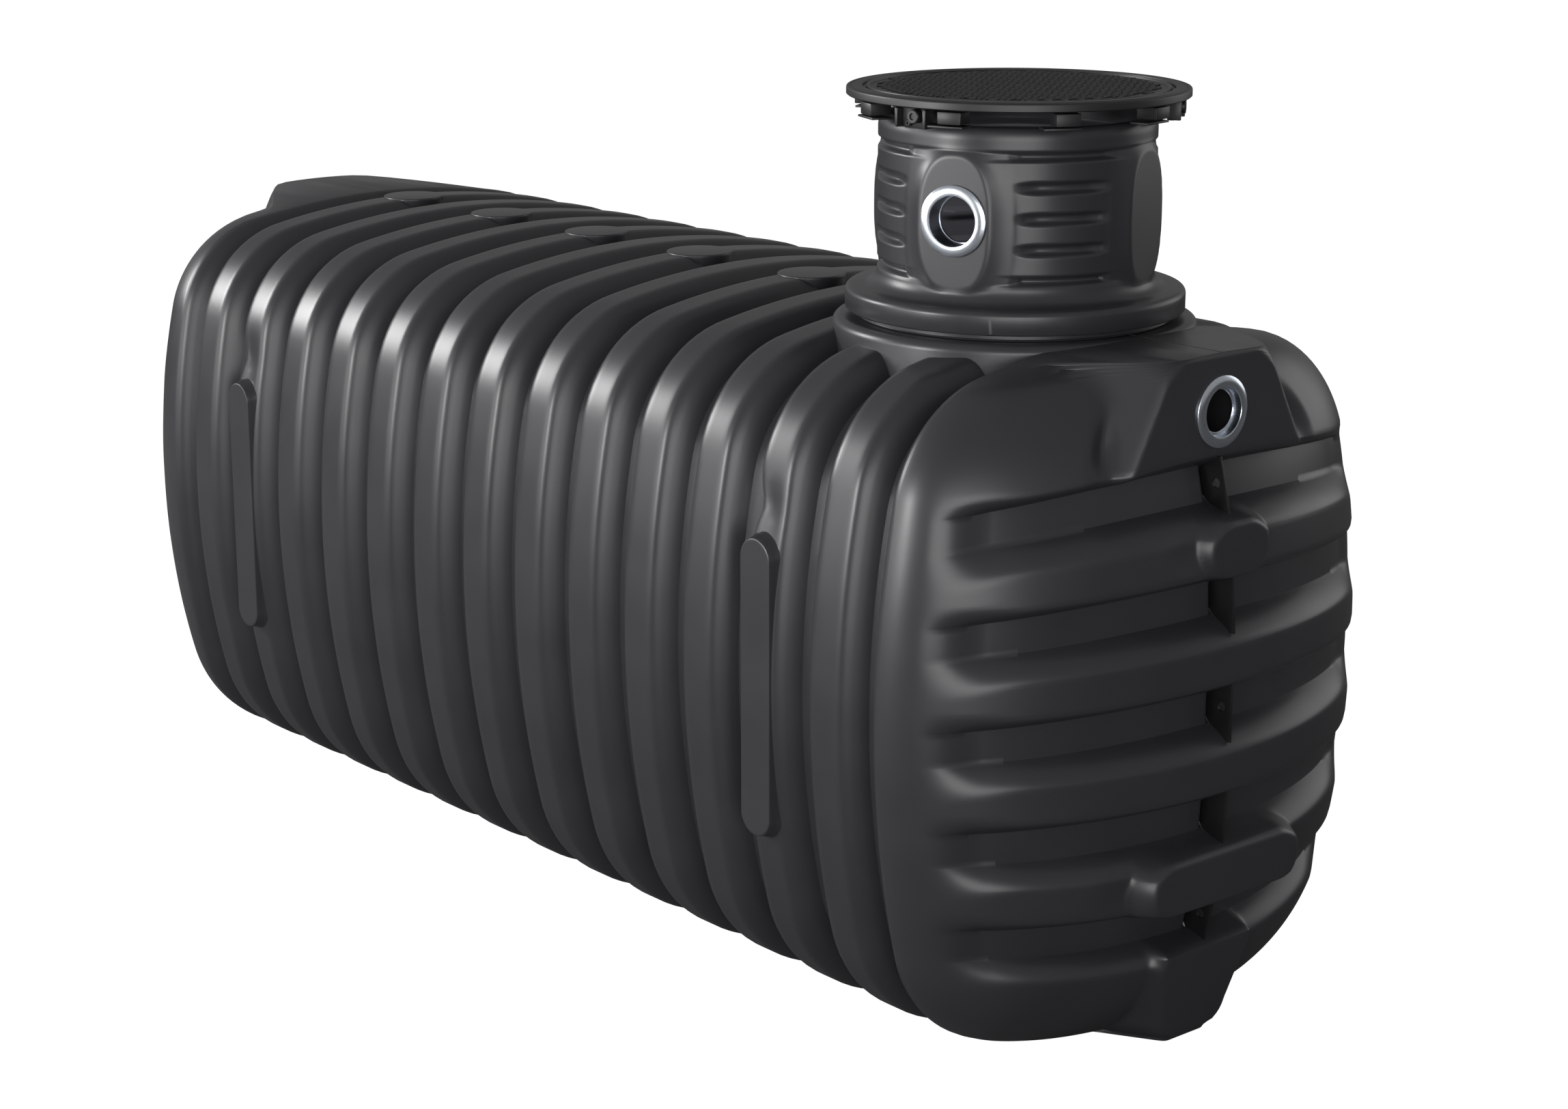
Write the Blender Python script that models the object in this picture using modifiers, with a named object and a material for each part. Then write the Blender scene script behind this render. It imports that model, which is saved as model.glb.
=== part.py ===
"""Underground water tank with a domed shaft, its cover and two pipe seals.

Metres, +Z up.  X runs along the tank, towards the end that has the inlet, and
the moulding's parting plane is Y = 0.  The origin is on the ground, under the
middle of the ribbed barrel.  The barrel is a blow-moulded shell of thirteen
ribbed hoops with a domed end at each side; a round collar on its top carries
the shaft.
"""
import math

import bmesh
import bpy
from mathutils import Matrix, Vector

# Driving dimensions of the moulded barrel
RIB_COUNT = 13
RIB_PITCH = 0.2276
RIB_DEPTH = 0.060
CREST_WIDTH = 0.104
FLANK_WIDTH = 0.040
WALL = 0.014
HALF_WIDTH = 0.7505
HALF_HEIGHT_TOP = 0.786
HALF_HEIGHT_BOTTOM = 0.862
BASE_CUT = 0.012
SIDE_RADIUS = 2.36
CROWN_RADIUS = 2.30
CORNER_RADIUS_TOP = 0.320
CORNER_RADIUS_BOTTOM = 0.362
CORNER_STEPS = 3
GAP = 0.0003

# Driving dimensions of the domed ends
END_LENGTH = 0.3705
END_SIDE_STEP = 0.002
PLAN_POWER_NEAR = 1.9
PLAN_POWER_FAR = 2.2
NOSE_POWER_TOP = 2.7
NOSE_POWER_BOTTOM = 2.8
END_COLUMNS = 12
GROOVE_COUNT = 5
GROOVE_TOP_DROP = 0.3025
GROOVE_BOTTOM_RISE = 0.3095
GROOVE_FLOOR_HALF_HEIGHT = 0.040
GROOVE_LIP_HEIGHT = 0.0245
GROOVE_DEPTH = 0.070
GROOVE_FADE_START = math.radians(52.0)
GROOVE_FADE_END = math.radians(74.0)
GROOVE_BOW = 0.0934
BOW_LEVEL = 0.75
FLANK_WALL = 0.75
LOW_SHARES = (0.12, 0.39)
HIGH_STEPS = 4

# Panel for the inlet pipe, set back from the tip of the dome
INLET_DROP = 0.133
PANEL_SETBACK = 0.071
FAR_PANEL_ADVANCE = 0.059
PANEL_TOP_HALF_WIDTH = 0.150
PANEL_BOTTOM_HALF_WIDTH = 0.272
PANEL_RISE = 0.127
PANEL_DEPTH = 0.1785
PANEL_CUT = 0.060
PANEL_CUT_DROP = 0.012
PANEL_EDGE = 0.014
PANEL_DRAFT = 0.030

# Pads, foot and parting webs on each end
SMALL_PAD_LENGTH = 0.172
SMALL_PAD_MARGIN = 0.0045
OVAL_PAD_LENGTH = 0.47
OVAL_PAD_MARGIN = 0.0085
PAD_PROUD = 0.008
PAD_ROOT = 0.06
PAD_POINTS = 16
KEEL_TOP_HALF_WIDTH = 0.165
KEEL_KNEE_HALF_WIDTH = 0.118
KEEL_FOOT_HALF_WIDTH = 0.060
KEEL_KNEE_HEIGHT = 0.055
KEEL_KNEE_STEPS = 3
KEEL_CLEARANCE = 0.013
KEEL_TOP_SETBACK = 0.044
KEEL_BOTTOM_SETBACK = 0.1015
KEEL_DEPTH = 0.2265
WEB_THICKNESS = 0.006
WEB_HOLE_RADIUS = 0.0115
WEB_HOLE_POINTS = 12

# Pads and discs moulded on the hoops
SIDE_PAD_RIBS = (2, 12)
SIDE_PAD_WIDTH = 0.120
SIDE_PAD_HEIGHT = 0.706
SIDE_PAD_DROP = 0.007
SIDE_PAD_PROUD = 0.004
SIDE_PAD_ROOT = 0.05
SIDE_PAD_POINTS = 16
TOP_DISC_RIBS = (1, 3, 5, 7, 9)
TOP_DISC_RADIUS = 0.088
TOP_DISC_FOOT_RADIUS = 0.076
TOP_DISC_PROUD = 0.0025
TOP_DISC_POINTS = 20

# Shaft, measured from the middle of the inlet end and from the collar's top
SHAFT_SETBACK = 0.3557
SHAFT_SEGMENTS = 36
SHAFT_RADIUS = 0.325
SHAFT_WALL = 0.025
SHAFT_HEIGHT = 0.455
SEAT_RISE = 0.015
NECK_REACH = 0.047
FLANGE_REACH = 0.075
FLANGE_HEIGHT = 0.055
FLANGE_EDGE = 0.018
ROOT_FILLET = 0.035
ROOT_RISE = 0.042
LOW_GROOVE_RISE = 0.014
SHAFT_TOP_CUT = 0.012
SHAFT_TOP_BEND = 0.014
GROOVE_CUT = 0.012
SHAFT_GROOVE_WIDTH = 0.022
SHAFT_GROOVE_FLOOR = 0.009
SHAFT_GROOVE_PITCH = 0.070
SHAFT_GROOVE_DROP = 0.134
SHAFT_GROOVE_ROWS = 3
SHAFT_GROOVE_SPAN = math.radians(42.0)
SECTOR_STEPS = 4
SHAFT_PAD_COUNT = 4
SHAFT_PAD_ANGLE = math.radians(-70.0)
SHAFT_PAD_PROUD = 0.005
SHAFT_PAD_WIDTH = 0.178
SHAFT_PAD_HEIGHT = 0.290
SHAFT_PAD_DROP = 0.2235
PAD_BACK = 0.008

# Collar on the tank's top, round the shaft's flange
COLLAR_LEDGE = 0.030
COLLAR_SKIRT = 0.136
COLLAR_FILLET = 0.016

# Pipe seals, both for a 110 mm pipe
SEAL_MOUTH_RADIUS = 0.0605
SEAL_SLEEVE_WALL = 0.0055
SEAL_RIM = 0.016
SEAL_LIP = 0.0075
SEAL_LIP_THICKNESS = 0.006
SEAL_EDGE = 0.002
SEAL_FLANGE = 0.008
SEAL_LENGTH = 0.045
SEAL_SEGMENTS = 24
SHAFT_SEAL_RISE = 0.0115
SEAL_PLATE_MARGIN = 0.0045

# Cover and its frame
COVER_OVERHANG = 0.075
COVER_THICKNESS = 0.025
COVER_RIM_WIDTH = 0.040
COVER_RIM_STEP = 0.004
COVER_GROOVE_WIDTH = 0.008
COVER_GROOVE_DEPTH = 0.003
COVER_EDGE = 0.006
FRAME_HEIGHT = 0.039
FRAME_REACH = 0.014
FRAME_STEP = 0.006
FRAME_BAND = 0.016
LUG_COUNT = 9
LUG_INSET = 0.012
LUG_WIDTH = 0.058
LUG_HEIGHT = 0.028
LUG_ROOT = 0.018
LUG_ANGLE = math.radians(-68.0)
BRACKET_COUNT = 3
BRACKET_ANGLE = math.radians(-84.0)
BRACKET_INSET = 0.016
BRACKET_WIDTH = 0.100
BRACKET_FOOT_WIDTH = 0.064
BRACKET_HEIGHT = 0.046
BRACKET_TAPER = 0.010
BOSS_RADIUS = 0.016
BOSS_REACH = 0.006
BOSS_POINTS = 12

# Places that follow from them
CENTRE_HEIGHT = HALF_HEIGHT_BOTTOM - BASE_CUT
TANK_TOP = CENTRE_HEIGHT + HALF_HEIGHT_TOP
BARREL_HALF = RIB_COUNT * RIB_PITCH / 2.0
END_CENTRE = BARREL_HALF + (RIB_PITCH - CREST_WIDTH) / 2.0
END_HALF_WIDTH = HALF_WIDTH - END_SIDE_STEP
INLET_HEIGHT = TANK_TOP - INLET_DROP
GROOVE_HALF_HEIGHT = GROOVE_FLOOR_HALF_HEIGHT + GROOVE_LIP_HEIGHT
SHAFT_X = END_CENTRE - SHAFT_SETBACK
SHAFT_SEAT = TANK_TOP + SEAT_RISE
SHAFT_TOP = SHAFT_SEAT + SHAFT_HEIGHT
SHAFT_BORE = SHAFT_RADIUS - SHAFT_WALL
NECK_RADIUS = SHAFT_RADIUS + NECK_REACH
FLANGE_RADIUS = SHAFT_RADIUS + FLANGE_REACH
COLLAR_RADIUS = FLANGE_RADIUS + COLLAR_LEDGE
COLLAR_FOOT = TANK_TOP - COLLAR_SKIRT
SHAFT_GROOVE_TOP = SHAFT_TOP - SHAFT_GROOVE_DROP
SHAFT_PAD_CENTRE = SHAFT_TOP - SHAFT_PAD_DROP
SHAFT_PAD_REACH = SHAFT_RADIUS + SHAFT_PAD_PROUD
SHAFT_SEAL_HEIGHT = SHAFT_PAD_CENTRE + SHAFT_SEAL_RISE
SEAL_SLEEVE_RADIUS = SEAL_MOUTH_RADIUS + SEAL_SLEEVE_WALL
SEAL_OUTER_RADIUS = SEAL_SLEEVE_RADIUS + SEAL_RIM
COVER_RADIUS = SHAFT_RADIUS + COVER_OVERHANG
FRAME_SEAT = SHAFT_TOP + GAP
COVER_SEAT = SHAFT_TOP + FRAME_HEIGHT
COVER_TOP = COVER_SEAT + COVER_THICKNESS
FRAME_RADIUS = SHAFT_RADIUS + FRAME_REACH
LUG_REACH = COVER_RADIUS - LUG_INSET
BRACKET_REACH = COVER_RADIUS - BRACKET_INSET


def clear_scene():
    """Remove what a new Blender scene holds."""
    for item in list(bpy.data.objects):
        bpy.data.objects.remove(item)


def new_collection(name):
    """Add a collection to the scene."""
    group = bpy.data.collections.new(name)
    bpy.context.scene.collection.children.link(group)
    return group


def new_material(name, colour, roughness, metallic):
    """Make a Principled material in the finish that the piece has."""
    material = bpy.data.materials.new(name)
    material.use_nodes = True
    shader = material.node_tree.nodes["Principled BSDF"]
    shader.inputs["Base Color"].default_value = (*colour, 1.0)
    shader.inputs["Roughness"].default_value = roughness
    shader.inputs["Metallic"].default_value = metallic
    return material


clear_scene()
TANK = new_collection("underground_water_tank")
CUTTERS = new_collection("cutters")
BLACK_PE = new_material("black_polyethylene", (0.033, 0.033, 0.036), 0.42, 0.0)
COVER_PE = new_material("cover_polymer", (0.022, 0.022, 0.023), 0.55, 0.0)
SEAL_METAL = new_material("bright_seal_ring", (0.62, 0.66, 0.72), 0.30, 1.0)


def add_object(name, shape, group=TANK, material=BLACK_PE):
    """Put a bmesh in the scene as one named object."""
    mesh = bpy.data.meshes.new(name)
    shape.to_mesh(mesh)
    shape.free()
    item = bpy.data.objects.new(name, mesh)
    item.data.materials.append(material)
    group.objects.link(item)
    if group is CUTTERS:
        item.hide_render = True
        item.display_type = "WIRE"
    return item


def boolean(item, tool, operation):
    """Cut or join an object by another that stays out of the render."""
    modifier = item.modifiers.new(operation.lower() + "_" + tool.name, "BOOLEAN")
    modifier.operation = operation
    modifier.object = tool
    modifier.solver = "EXACT"


def smooth(item, angle=math.radians(35.0)):
    """Shade round faces smooth and keep the hard edges."""
    item.data.shade_smooth()
    item.data.set_sharp_from_angle(angle=angle)


# Sections

def signed_power(value, power):
    """A power that keeps the sign of its base."""
    return math.copysign(abs(value) ** power, value)


def arc_centre(reach, half, radii):
    """Centre (y, rise) of the corner arc that joins the side's arc to the crown's."""
    side, crown, corner = radii
    across, along = reach - side, half - crown
    first, second = side - corner, crown - corner
    apart = math.hypot(across, along)
    share = (first ** 2 - second ** 2 + apart ** 2) / (2.0 * apart)
    rise = math.sqrt(first ** 2 - share ** 2)
    return (across - (share * across + rise * along) / apart, (share * along - rise * across) / apart)


def section_arcs(inset, upper):
    """The side, corner and crown arcs of the section's upper or lower half.

    Each is (centre y, centre rise, radius), with rises measured from the middle.
    """
    reach = HALF_WIDTH - inset
    half = (HALF_HEIGHT_TOP if upper else HALF_HEIGHT_BOTTOM) - inset
    corner = (CORNER_RADIUS_TOP if upper else CORNER_RADIUS_BOTTOM) - inset
    side, crown = SIDE_RADIUS - inset, CROWN_RADIUS - inset
    y, rise = arc_centre(reach, half, (side, crown, corner))
    return [(reach - side, 0.0, side), (y, rise, corner), (0.0, half - crown, crown)]


def arc_turns(arcs):
    """Angles of the outward normal where the corner's arc starts and ends."""
    (side_y, side_rise, _), (y, rise, _), (crown_y, crown_rise, _) = arcs
    return (math.atan2(rise - side_rise, y - side_y), math.atan2(rise - crown_rise, y - crown_y))


def section_half(height, inset=0.0):
    """Half width of the section at a height."""
    rise = height - CENTRE_HEIGHT
    arcs = section_arcs(inset, rise >= 0.0)
    start, end = arc_turns(arcs)
    rise = abs(rise)
    if rise <= arcs[0][2] * math.sin(start):
        y, middle, radius = arcs[0]
    elif rise <= arcs[1][1] + arcs[1][2] * math.sin(end):
        y, middle, radius = arcs[1]
    else:
        y, middle, radius = arcs[2]
    return y + math.sqrt(max(radius ** 2 - (rise - middle) ** 2, 0.0))


def nose_share(height, inset):
    """Share of its full reach that the dome's nose has at a height."""
    rise = height - CENTRE_HEIGHT
    if rise >= 0.0:
        half, power = HALF_HEIGHT_TOP - inset, NOSE_POWER_TOP
    else:
        half, power = HALF_HEIGHT_BOTTOM - inset, NOSE_POWER_BOTTOM
    share = min(abs(rise) / half, 1.0)
    return (1.0 - share ** power) ** (1.0 / power)


def section_quarter(inset, upper):
    """Points (y, rise) of a quarter of the section, from its side to its crown."""
    side, corner, crown = section_arcs(inset, upper)
    start, end = arc_turns((side, corner, crown))
    turns = [(side, 0.0), (side, start / 2.0)]
    turns += [(corner, start + (end - start) * index / CORNER_STEPS) for index in range(CORNER_STEPS + 1)]
    turns += [(crown, (end + math.pi / 2.0) / 2.0), (crown, math.pi / 2.0)]
    return [(y + radius * math.cos(turn), rise + radius * math.sin(turn)) for (y, rise, radius), turn in turns]


def barrel_section(inset):
    """Points (y, z) round the barrel, drawn in from the rib crests by inset."""
    top = section_quarter(inset, True)
    low = [(y, -rise) for y, rise in section_quarter(inset, False)]
    ring = top + [(-y, rise) for y, rise in reversed(top[1:-1])]
    ring += [(-y, rise) for y, rise in low] + list(reversed(low[1:-1]))
    return [(y, max(CENTRE_HEIGHT + rise, inset)) for y, rise in ring]


def hoop_profile(half_length):
    """Stations (x, inset) across one hoop: valley floor, flank, crest and back."""
    crest = CREST_WIDTH / 2.0
    foot = crest + FLANK_WIDTH
    return [(-half_length, RIB_DEPTH), (-foot, RIB_DEPTH), (-crest, 0.0),
            (crest, 0.0), (foot, RIB_DEPTH), (half_length, RIB_DEPTH)]


def loft_rings(rings, capped=False):
    """Skin a row of rings with the same number of points each."""
    shape = bmesh.new()
    rows = [[shape.verts.new(point) for point in ring] for ring in rings]
    for row, following in zip(rows, rows[1:]):
        for index in range(len(row)):
            after = (index + 1) % len(row)
            shape.faces.new((row[index], row[after], following[after], following[index]))
    if capped:
        shape.faces.new(list(reversed(rows[0])))
        shape.faces.new(rows[-1])
    return shape


def hoop_rings(centre_x, growth=0.0):
    """Rings of one hoop, grown outwards all over by growth."""
    half_length = RIB_PITCH / 2.0 - GAP / 2.0 + growth
    rings = []
    for x, inset in hoop_profile(half_length):
        ring = [Vector((centre_x + x, y, z)) for y, z in barrel_section(inset - growth)]
        rings.append(ring)
    return rings


def rib_centre(number):
    """Place along X of a hoop, counted from 1 at the far end."""
    return (number - (RIB_COUNT + 1) / 2.0) * RIB_PITCH


def add_hoop(number):
    """One ribbed hoop of the barrel as a thin shell."""
    item = add_object(f"rib_hoop_{number:02d}", loft_rings(hoop_rings(rib_centre(number))))
    wall = item.modifiers.new("moulded_wall", "SOLIDIFY")
    wall.thickness = WALL
    wall.offset = -1.0
    wall.use_even_offset = True
    smooth(item)
    return item


def filled_hoop(number):
    """The hoop's outer form as a solid, grown by the gap that seated pieces keep."""
    shape = loft_rings(hoop_rings(rib_centre(number), GAP), capped=True)
    return add_object(f"seat_of_hoop_{number:02d}", shape, CUTTERS)


# Domed ends

def groove_heights():
    """Middle heights of the end's level grooves, from the top down."""
    highest = TANK_TOP - GROOVE_TOP_DROP
    pitch = (highest - GROOVE_BOTTOM_RISE) / (GROOVE_COUNT - 1)
    return [highest - pitch * index for index in range(GROOVE_COUNT)]


def groove_fade(turn):
    """Share of the full groove depth left at an angle from the end's middle."""
    left = (GROOVE_FADE_END - abs(turn)) / (GROOVE_FADE_END - GROOVE_FADE_START)
    left = min(max(left, 0.0), 1.0)
    return left * left * (3.0 - 2.0 * left)


def end_levels(inset):
    """Levels (z, lip, groove) of the end's grid on a skin that lies inset inside.

    A level moves by its lip, and is cut in by its groove share, as far as the
    groove has its full depth.
    """
    floor = GROOVE_FLOOR_HALF_HEIGHT + inset * FLANK_WALL
    lip = GROOVE_LIP_HEIGHT
    lowest = groove_heights()[-1] - floor - lip
    levels = [(inset, 0.0, 0.0)]
    levels += [(inset + share * (lowest - inset), 0.0, 0.0) for share in LOW_SHARES]
    for middle in reversed(groove_heights()):
        levels += [(middle - floor, -lip, 0.0), (middle - floor, 0.0, 1.0),
                   (middle + floor, 0.0, 1.0), (middle + floor, lip, 0.0)]
    shoulder = levels[-1][0] + lip
    for index in range(1, HIGH_STEPS + 1):
        share = math.sin(0.5 * math.pi * index / (HIGH_STEPS + 1))
        levels.append((shoulder + (TANK_TOP - inset - shoulder) * share, 0.0, 0.0))
    return levels


def bowed(height, inset, turn):
    """A level's height at an angle in plan: the grooves draw together towards the corners."""
    floor = GROOVE_HALF_HEIGHT + inset * FLANK_WALL
    above = (TANK_TOP - inset - height) / (TANK_TOP - inset - groove_heights()[0] - floor)
    below = (height - inset) / (groove_heights()[-1] - floor - inset)
    window = max(0.0, min(1.0, above, below))
    return height - GROOVE_BOW * (height - BOW_LEVEL) * window * math.sin(turn) ** 2


def end_point(turn, level, inset, power):
    """A point of the dome at an angle in plan and a level."""
    height, lip, groove = level
    fade = groove_fade(turn)
    height = bowed(height + lip * math.sqrt(fade), inset, turn)
    nose = nose_share(height, inset)
    flank = section_half(height, inset) / (HALF_WIDTH - inset)
    cut = groove * GROOVE_DEPTH * fade
    plan_x = signed_power(math.cos(turn), 2.0 / power)
    plan_y = signed_power(math.sin(turn), 2.0 / power)
    x = END_CENTRE + ((END_LENGTH - inset) * nose - cut) * plan_x
    y = ((END_HALF_WIDTH - inset) * flank - cut) * plan_y
    return Vector((x, y, height))


def barrel_column(x, inset, depth, side):
    """One side of the barrel's section, drawn in by depth from the dome's skin."""
    low, high = inset + depth, TANK_TOP - inset - depth
    column = [Vector((x, 0.0, low))]
    for height, _, _ in end_levels(inset):
        share = (bowed(height, inset, math.pi / 2.0) - inset) / (TANK_TOP - 2.0 * inset)
        z = low + share * (high - low)
        y = side * (section_half(z, low) - END_SIDE_STEP)
        column.append(Vector((x, y, z)))
    column.append(Vector((x, 0.0, high)))
    return column


def dome_column(turn, inset, power):
    """One upright line of the dome, from the bottom pole to the top one."""
    column = [Vector((END_CENTRE, 0.0, inset))]
    column += [end_point(turn, level, inset, power) for level in end_levels(inset)]
    column.append(Vector((END_CENTRE, 0.0, TANK_TOP - inset)))
    return column


def end_solid(inset, start_x, power):
    """A domed end as a filled solid, open nowhere."""
    foot = END_CENTRE - FLANK_WIDTH
    columns = [barrel_column(x, inset, RIB_DEPTH, -1.0) for x in (start_x, foot)]
    for index in range(END_COLUMNS + 1):
        turn = math.pi * (index / END_COLUMNS - 0.5)
        columns.append(dome_column(turn, inset, power))
    columns += [barrel_column(x, inset, RIB_DEPTH, 1.0) for x in (foot, start_x)]
    shape = bmesh.new()
    rows = [[shape.verts.new(point) for point in column] for column in columns]
    for row, following in zip(rows, rows[1:]):
        for low in range(len(row) - 1):
            shape.faces.new((row[low], following[low], following[low + 1], row[low + 1]))
    bmesh.ops.remove_doubles(shape, verts=shape.verts, dist=1e-6)
    rim = [edge for edge in shape.edges if edge.is_boundary]
    bmesh.ops.contextual_create(shape, geom=rim)
    bmesh.ops.recalc_face_normals(shape, faces=shape.faces)
    return shape


def stack_x(rings):
    """A solid along X through rings that each hold points (x, y, z)."""
    shape = loft_rings(rings, capped=True)
    bmesh.ops.recalc_face_normals(shape, faces=shape.faces)
    return shape


def prism_x(outline, back_x, front_x):
    """A prism along X between an outline of (y, z) pairs and the same at the front."""
    return stack_x([[(x, y, z) for y, z in outline] for x in (back_x, front_x)])


def stadium(half_long, half_short, count=PAD_POINTS):
    """Outline of a pad with round ends, as pairs along its long and short way."""
    straight = half_long - half_short
    points = []
    for index in range(count):
        turn = 2.0 * math.pi * (index + 0.5) / count
        shift = math.copysign(straight, math.cos(turn))
        points.append((shift + half_short * math.cos(turn), half_short * math.sin(turn)))
    return points


def panel_ring(x, wider, lower):
    """Ring of the inlet panel, wider at its sides and lowered at its top.

    The panel runs down to the upper lip of the highest groove.
    """
    top, bottom = INLET_HEIGHT + PANEL_RISE - lower, groove_heights()[0] + GROOVE_HALF_HEIGHT
    low, high = PANEL_BOTTOM_HALF_WIDTH + wider, PANEL_TOP_HALF_WIDTH + wider
    return [(x, -low, bottom), (x, low, bottom), (x, high, top), (x, -high, top)]


def panel_face(far):
    """Place along X of the panel's flat face."""
    return END_CENTRE + END_LENGTH - PANEL_SETBACK + (FAR_PANEL_ADVANCE if far else 0.0)


def panel_form(far):
    """The raised panel, with its drafted sides and its eased edge."""
    face = panel_face(far)
    return stack_x([panel_ring(face - PANEL_DEPTH, PANEL_DRAFT, 0.0),
                    panel_ring(face - PANEL_EDGE, 0.0, 0.0),
                    panel_ring(face, -PANEL_EDGE, PANEL_EDGE)])


def panel_cutter(far):
    """What is taken off the dome in front of the panel's flat face."""
    face = panel_face(far)
    rings = [panel_ring(x, -PANEL_EDGE, PANEL_EDGE) for x in (face, face + PANEL_CUT)]
    for ring in rings:
        ring[:2] = [(x, y, z - PANEL_CUT_DROP) for x, y, z in ring[:2]]
    shape = stack_x(rings)
    side = "far" if far else "near"
    return add_object(f"panel_front_{side}", place_end(shape, far), CUTTERS)


def foot_form():
    """The foot under the grooves: a U with round lower corners and a sloping face."""
    top = groove_heights()[-1] - GROOVE_HALF_HEIGHT
    right = []
    for index in range(KEEL_KNEE_STEPS + 1):
        turn = 0.5 * math.pi * index / KEEL_KNEE_STEPS
        y = KEEL_FOOT_HALF_WIDTH + (KEEL_KNEE_HALF_WIDTH - KEEL_FOOT_HALF_WIDTH) * math.sin(turn)
        right.append((y, KEEL_CLEARANCE + KEEL_KNEE_HEIGHT * (1.0 - math.cos(turn))))
    right.append((KEEL_TOP_HALF_WIDTH, top))
    outline = right + [(-y, z) for y, z in reversed(right)]
    tip = END_CENTRE + END_LENGTH
    slope = (KEEL_BOTTOM_SETBACK - KEEL_TOP_SETBACK) / top
    front = [(tip - KEEL_BOTTOM_SETBACK + slope * z, y, z) for y, z in outline]
    back = [(tip - KEEL_TOP_SETBACK - KEEL_DEPTH, y, z) for y, z in outline]
    return stack_x([back, front])


def raised_forms(far):
    """Panel, pads and foot that stand out from an end, for joining to it."""
    tip = END_CENTRE + END_LENGTH
    grooves = groove_heights()
    middle_a = (grooves[0] + grooves[1]) / 2.0
    middle_d = (grooves[3] + grooves[4]) / 2.0
    land = (grooves[0] - grooves[1]) / 2.0 - GROOVE_HALF_HEIGHT
    small = [(y, middle_a + z) for y, z in stadium(SMALL_PAD_LENGTH / 2.0, land - SMALL_PAD_MARGIN)]
    oval = [(y, middle_d + z) for y, z in stadium(OVAL_PAD_LENGTH / 2.0, land - OVAL_PAD_MARGIN)]
    forms = {"panel": panel_form(far), "foot": foot_form(),
             "small_pad": prism_x(small, tip - PAD_ROOT, tip + PAD_PROUD),
             "oval_pad": prism_x(oval, tip - PAD_ROOT, tip + PAD_PROUD)}
    side = "far" if far else "near"
    return [add_object(f"{name}_{side}", place_end(form, far), CUTTERS) for name, form in forms.items()]


def place_end(shape, far):
    """Turn a form made for the inlet end round to the far end."""
    if far:
        turn = Matrix.Rotation(math.pi, 4, "Z")
        bmesh.ops.transform(shape, matrix=turn, verts=shape.verts)
    return shape


def plan_power(far):
    """Squareness of an end's plan: the far end's corners are fuller."""
    return PLAN_POWER_FAR if far else PLAN_POWER_NEAR


def add_end(name, far):
    """A domed end: the filled form, joined to its raised forms and hollowed out."""
    start = BARREL_HALF + GAP / 2.0
    power = plan_power(far)
    item = add_object(name, place_end(end_solid(0.0, start, power), far))
    for tool in raised_forms(far):
        boolean(item, tool, "UNION")
    boolean(item, panel_cutter(far), "DIFFERENCE")
    hollow = place_end(end_solid(WALL, start - WALL, power), far)
    boolean(item, add_object(f"hollow_of_{name}", hollow, CUTTERS), "DIFFERENCE")
    smooth(item)
    return item


def add_web(number, far):
    """A thin pinch-off web across one groove, on the parting plane."""
    middle = groove_heights()[number - 1]
    floor, lip = GROOVE_FLOOR_HALF_HEIGHT, GROOVE_LIP_HEIGHT
    levels = [(middle - floor, -lip, 0.0), (middle - floor, 0.0, 1.0),
              (middle + floor, 0.0, 1.0), (middle + floor, lip, 0.0)]
    outline = []
    for level in levels:
        point = end_point(0.0, level, 0.0, plan_power(far))
        inward = math.copysign(GAP, middle - point.z)
        outline.append((point.x + 2.0 * GAP, point.z + inward))
    half = WEB_THICKNESS / 2.0
    shape = loft_rings([[(x, y, z) for x, z in outline] for y in (-half, half)], capped=True)
    bmesh.ops.recalc_face_normals(shape, faces=shape.faces)
    side = "far" if far else "near"
    item = add_object(f"parting_web_{side}_{number}", place_end(shape, far))
    if number % 2 == 1:
        hole = bmesh.new()
        centre_x = (outline[0][0] + outline[1][0]) / 2.0
        spot = Matrix.Translation((centre_x, 0.0, middle)) @ Matrix.Rotation(math.pi / 2.0, 4, "X")
        bmesh.ops.create_cone(hole, cap_ends=True, segments=WEB_HOLE_POINTS, radius1=WEB_HOLE_RADIUS,
                              radius2=WEB_HOLE_RADIUS, depth=4.0 * WEB_THICKNESS, matrix=spot)
        tool = add_object(f"web_hole_{side}_{number}", place_end(hole, far), CUTTERS)
        boolean(item, tool, "DIFFERENCE")
    return item


# Pads and discs that sit on the hoops

def add_side_pad(number, side, seat):
    """A flat upright pad with round ends, seated on the side of a hoop."""
    face = HALF_WIDTH + SIDE_PAD_PROUD
    middle = CENTRE_HEIGHT - SIDE_PAD_DROP
    outline = stadium(SIDE_PAD_HEIGHT / 2.0, SIDE_PAD_WIDTH / 2.0, SIDE_PAD_POINTS)
    rings = [[(rib_centre(number) + short, side * y, middle + long) for long, short in outline]
             for y in (face - SIDE_PAD_ROOT, face)]
    shape = loft_rings(rings, capped=True)
    bmesh.ops.recalc_face_normals(shape, faces=shape.faces)
    end = "far" if number <= RIB_COUNT // 2 else "near"
    hand = "right" if side > 0.0 else "left"
    item = add_object(f"side_pad_{end}_{hand}", shape)
    boolean(item, seat, "DIFFERENCE")
    return item


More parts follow.
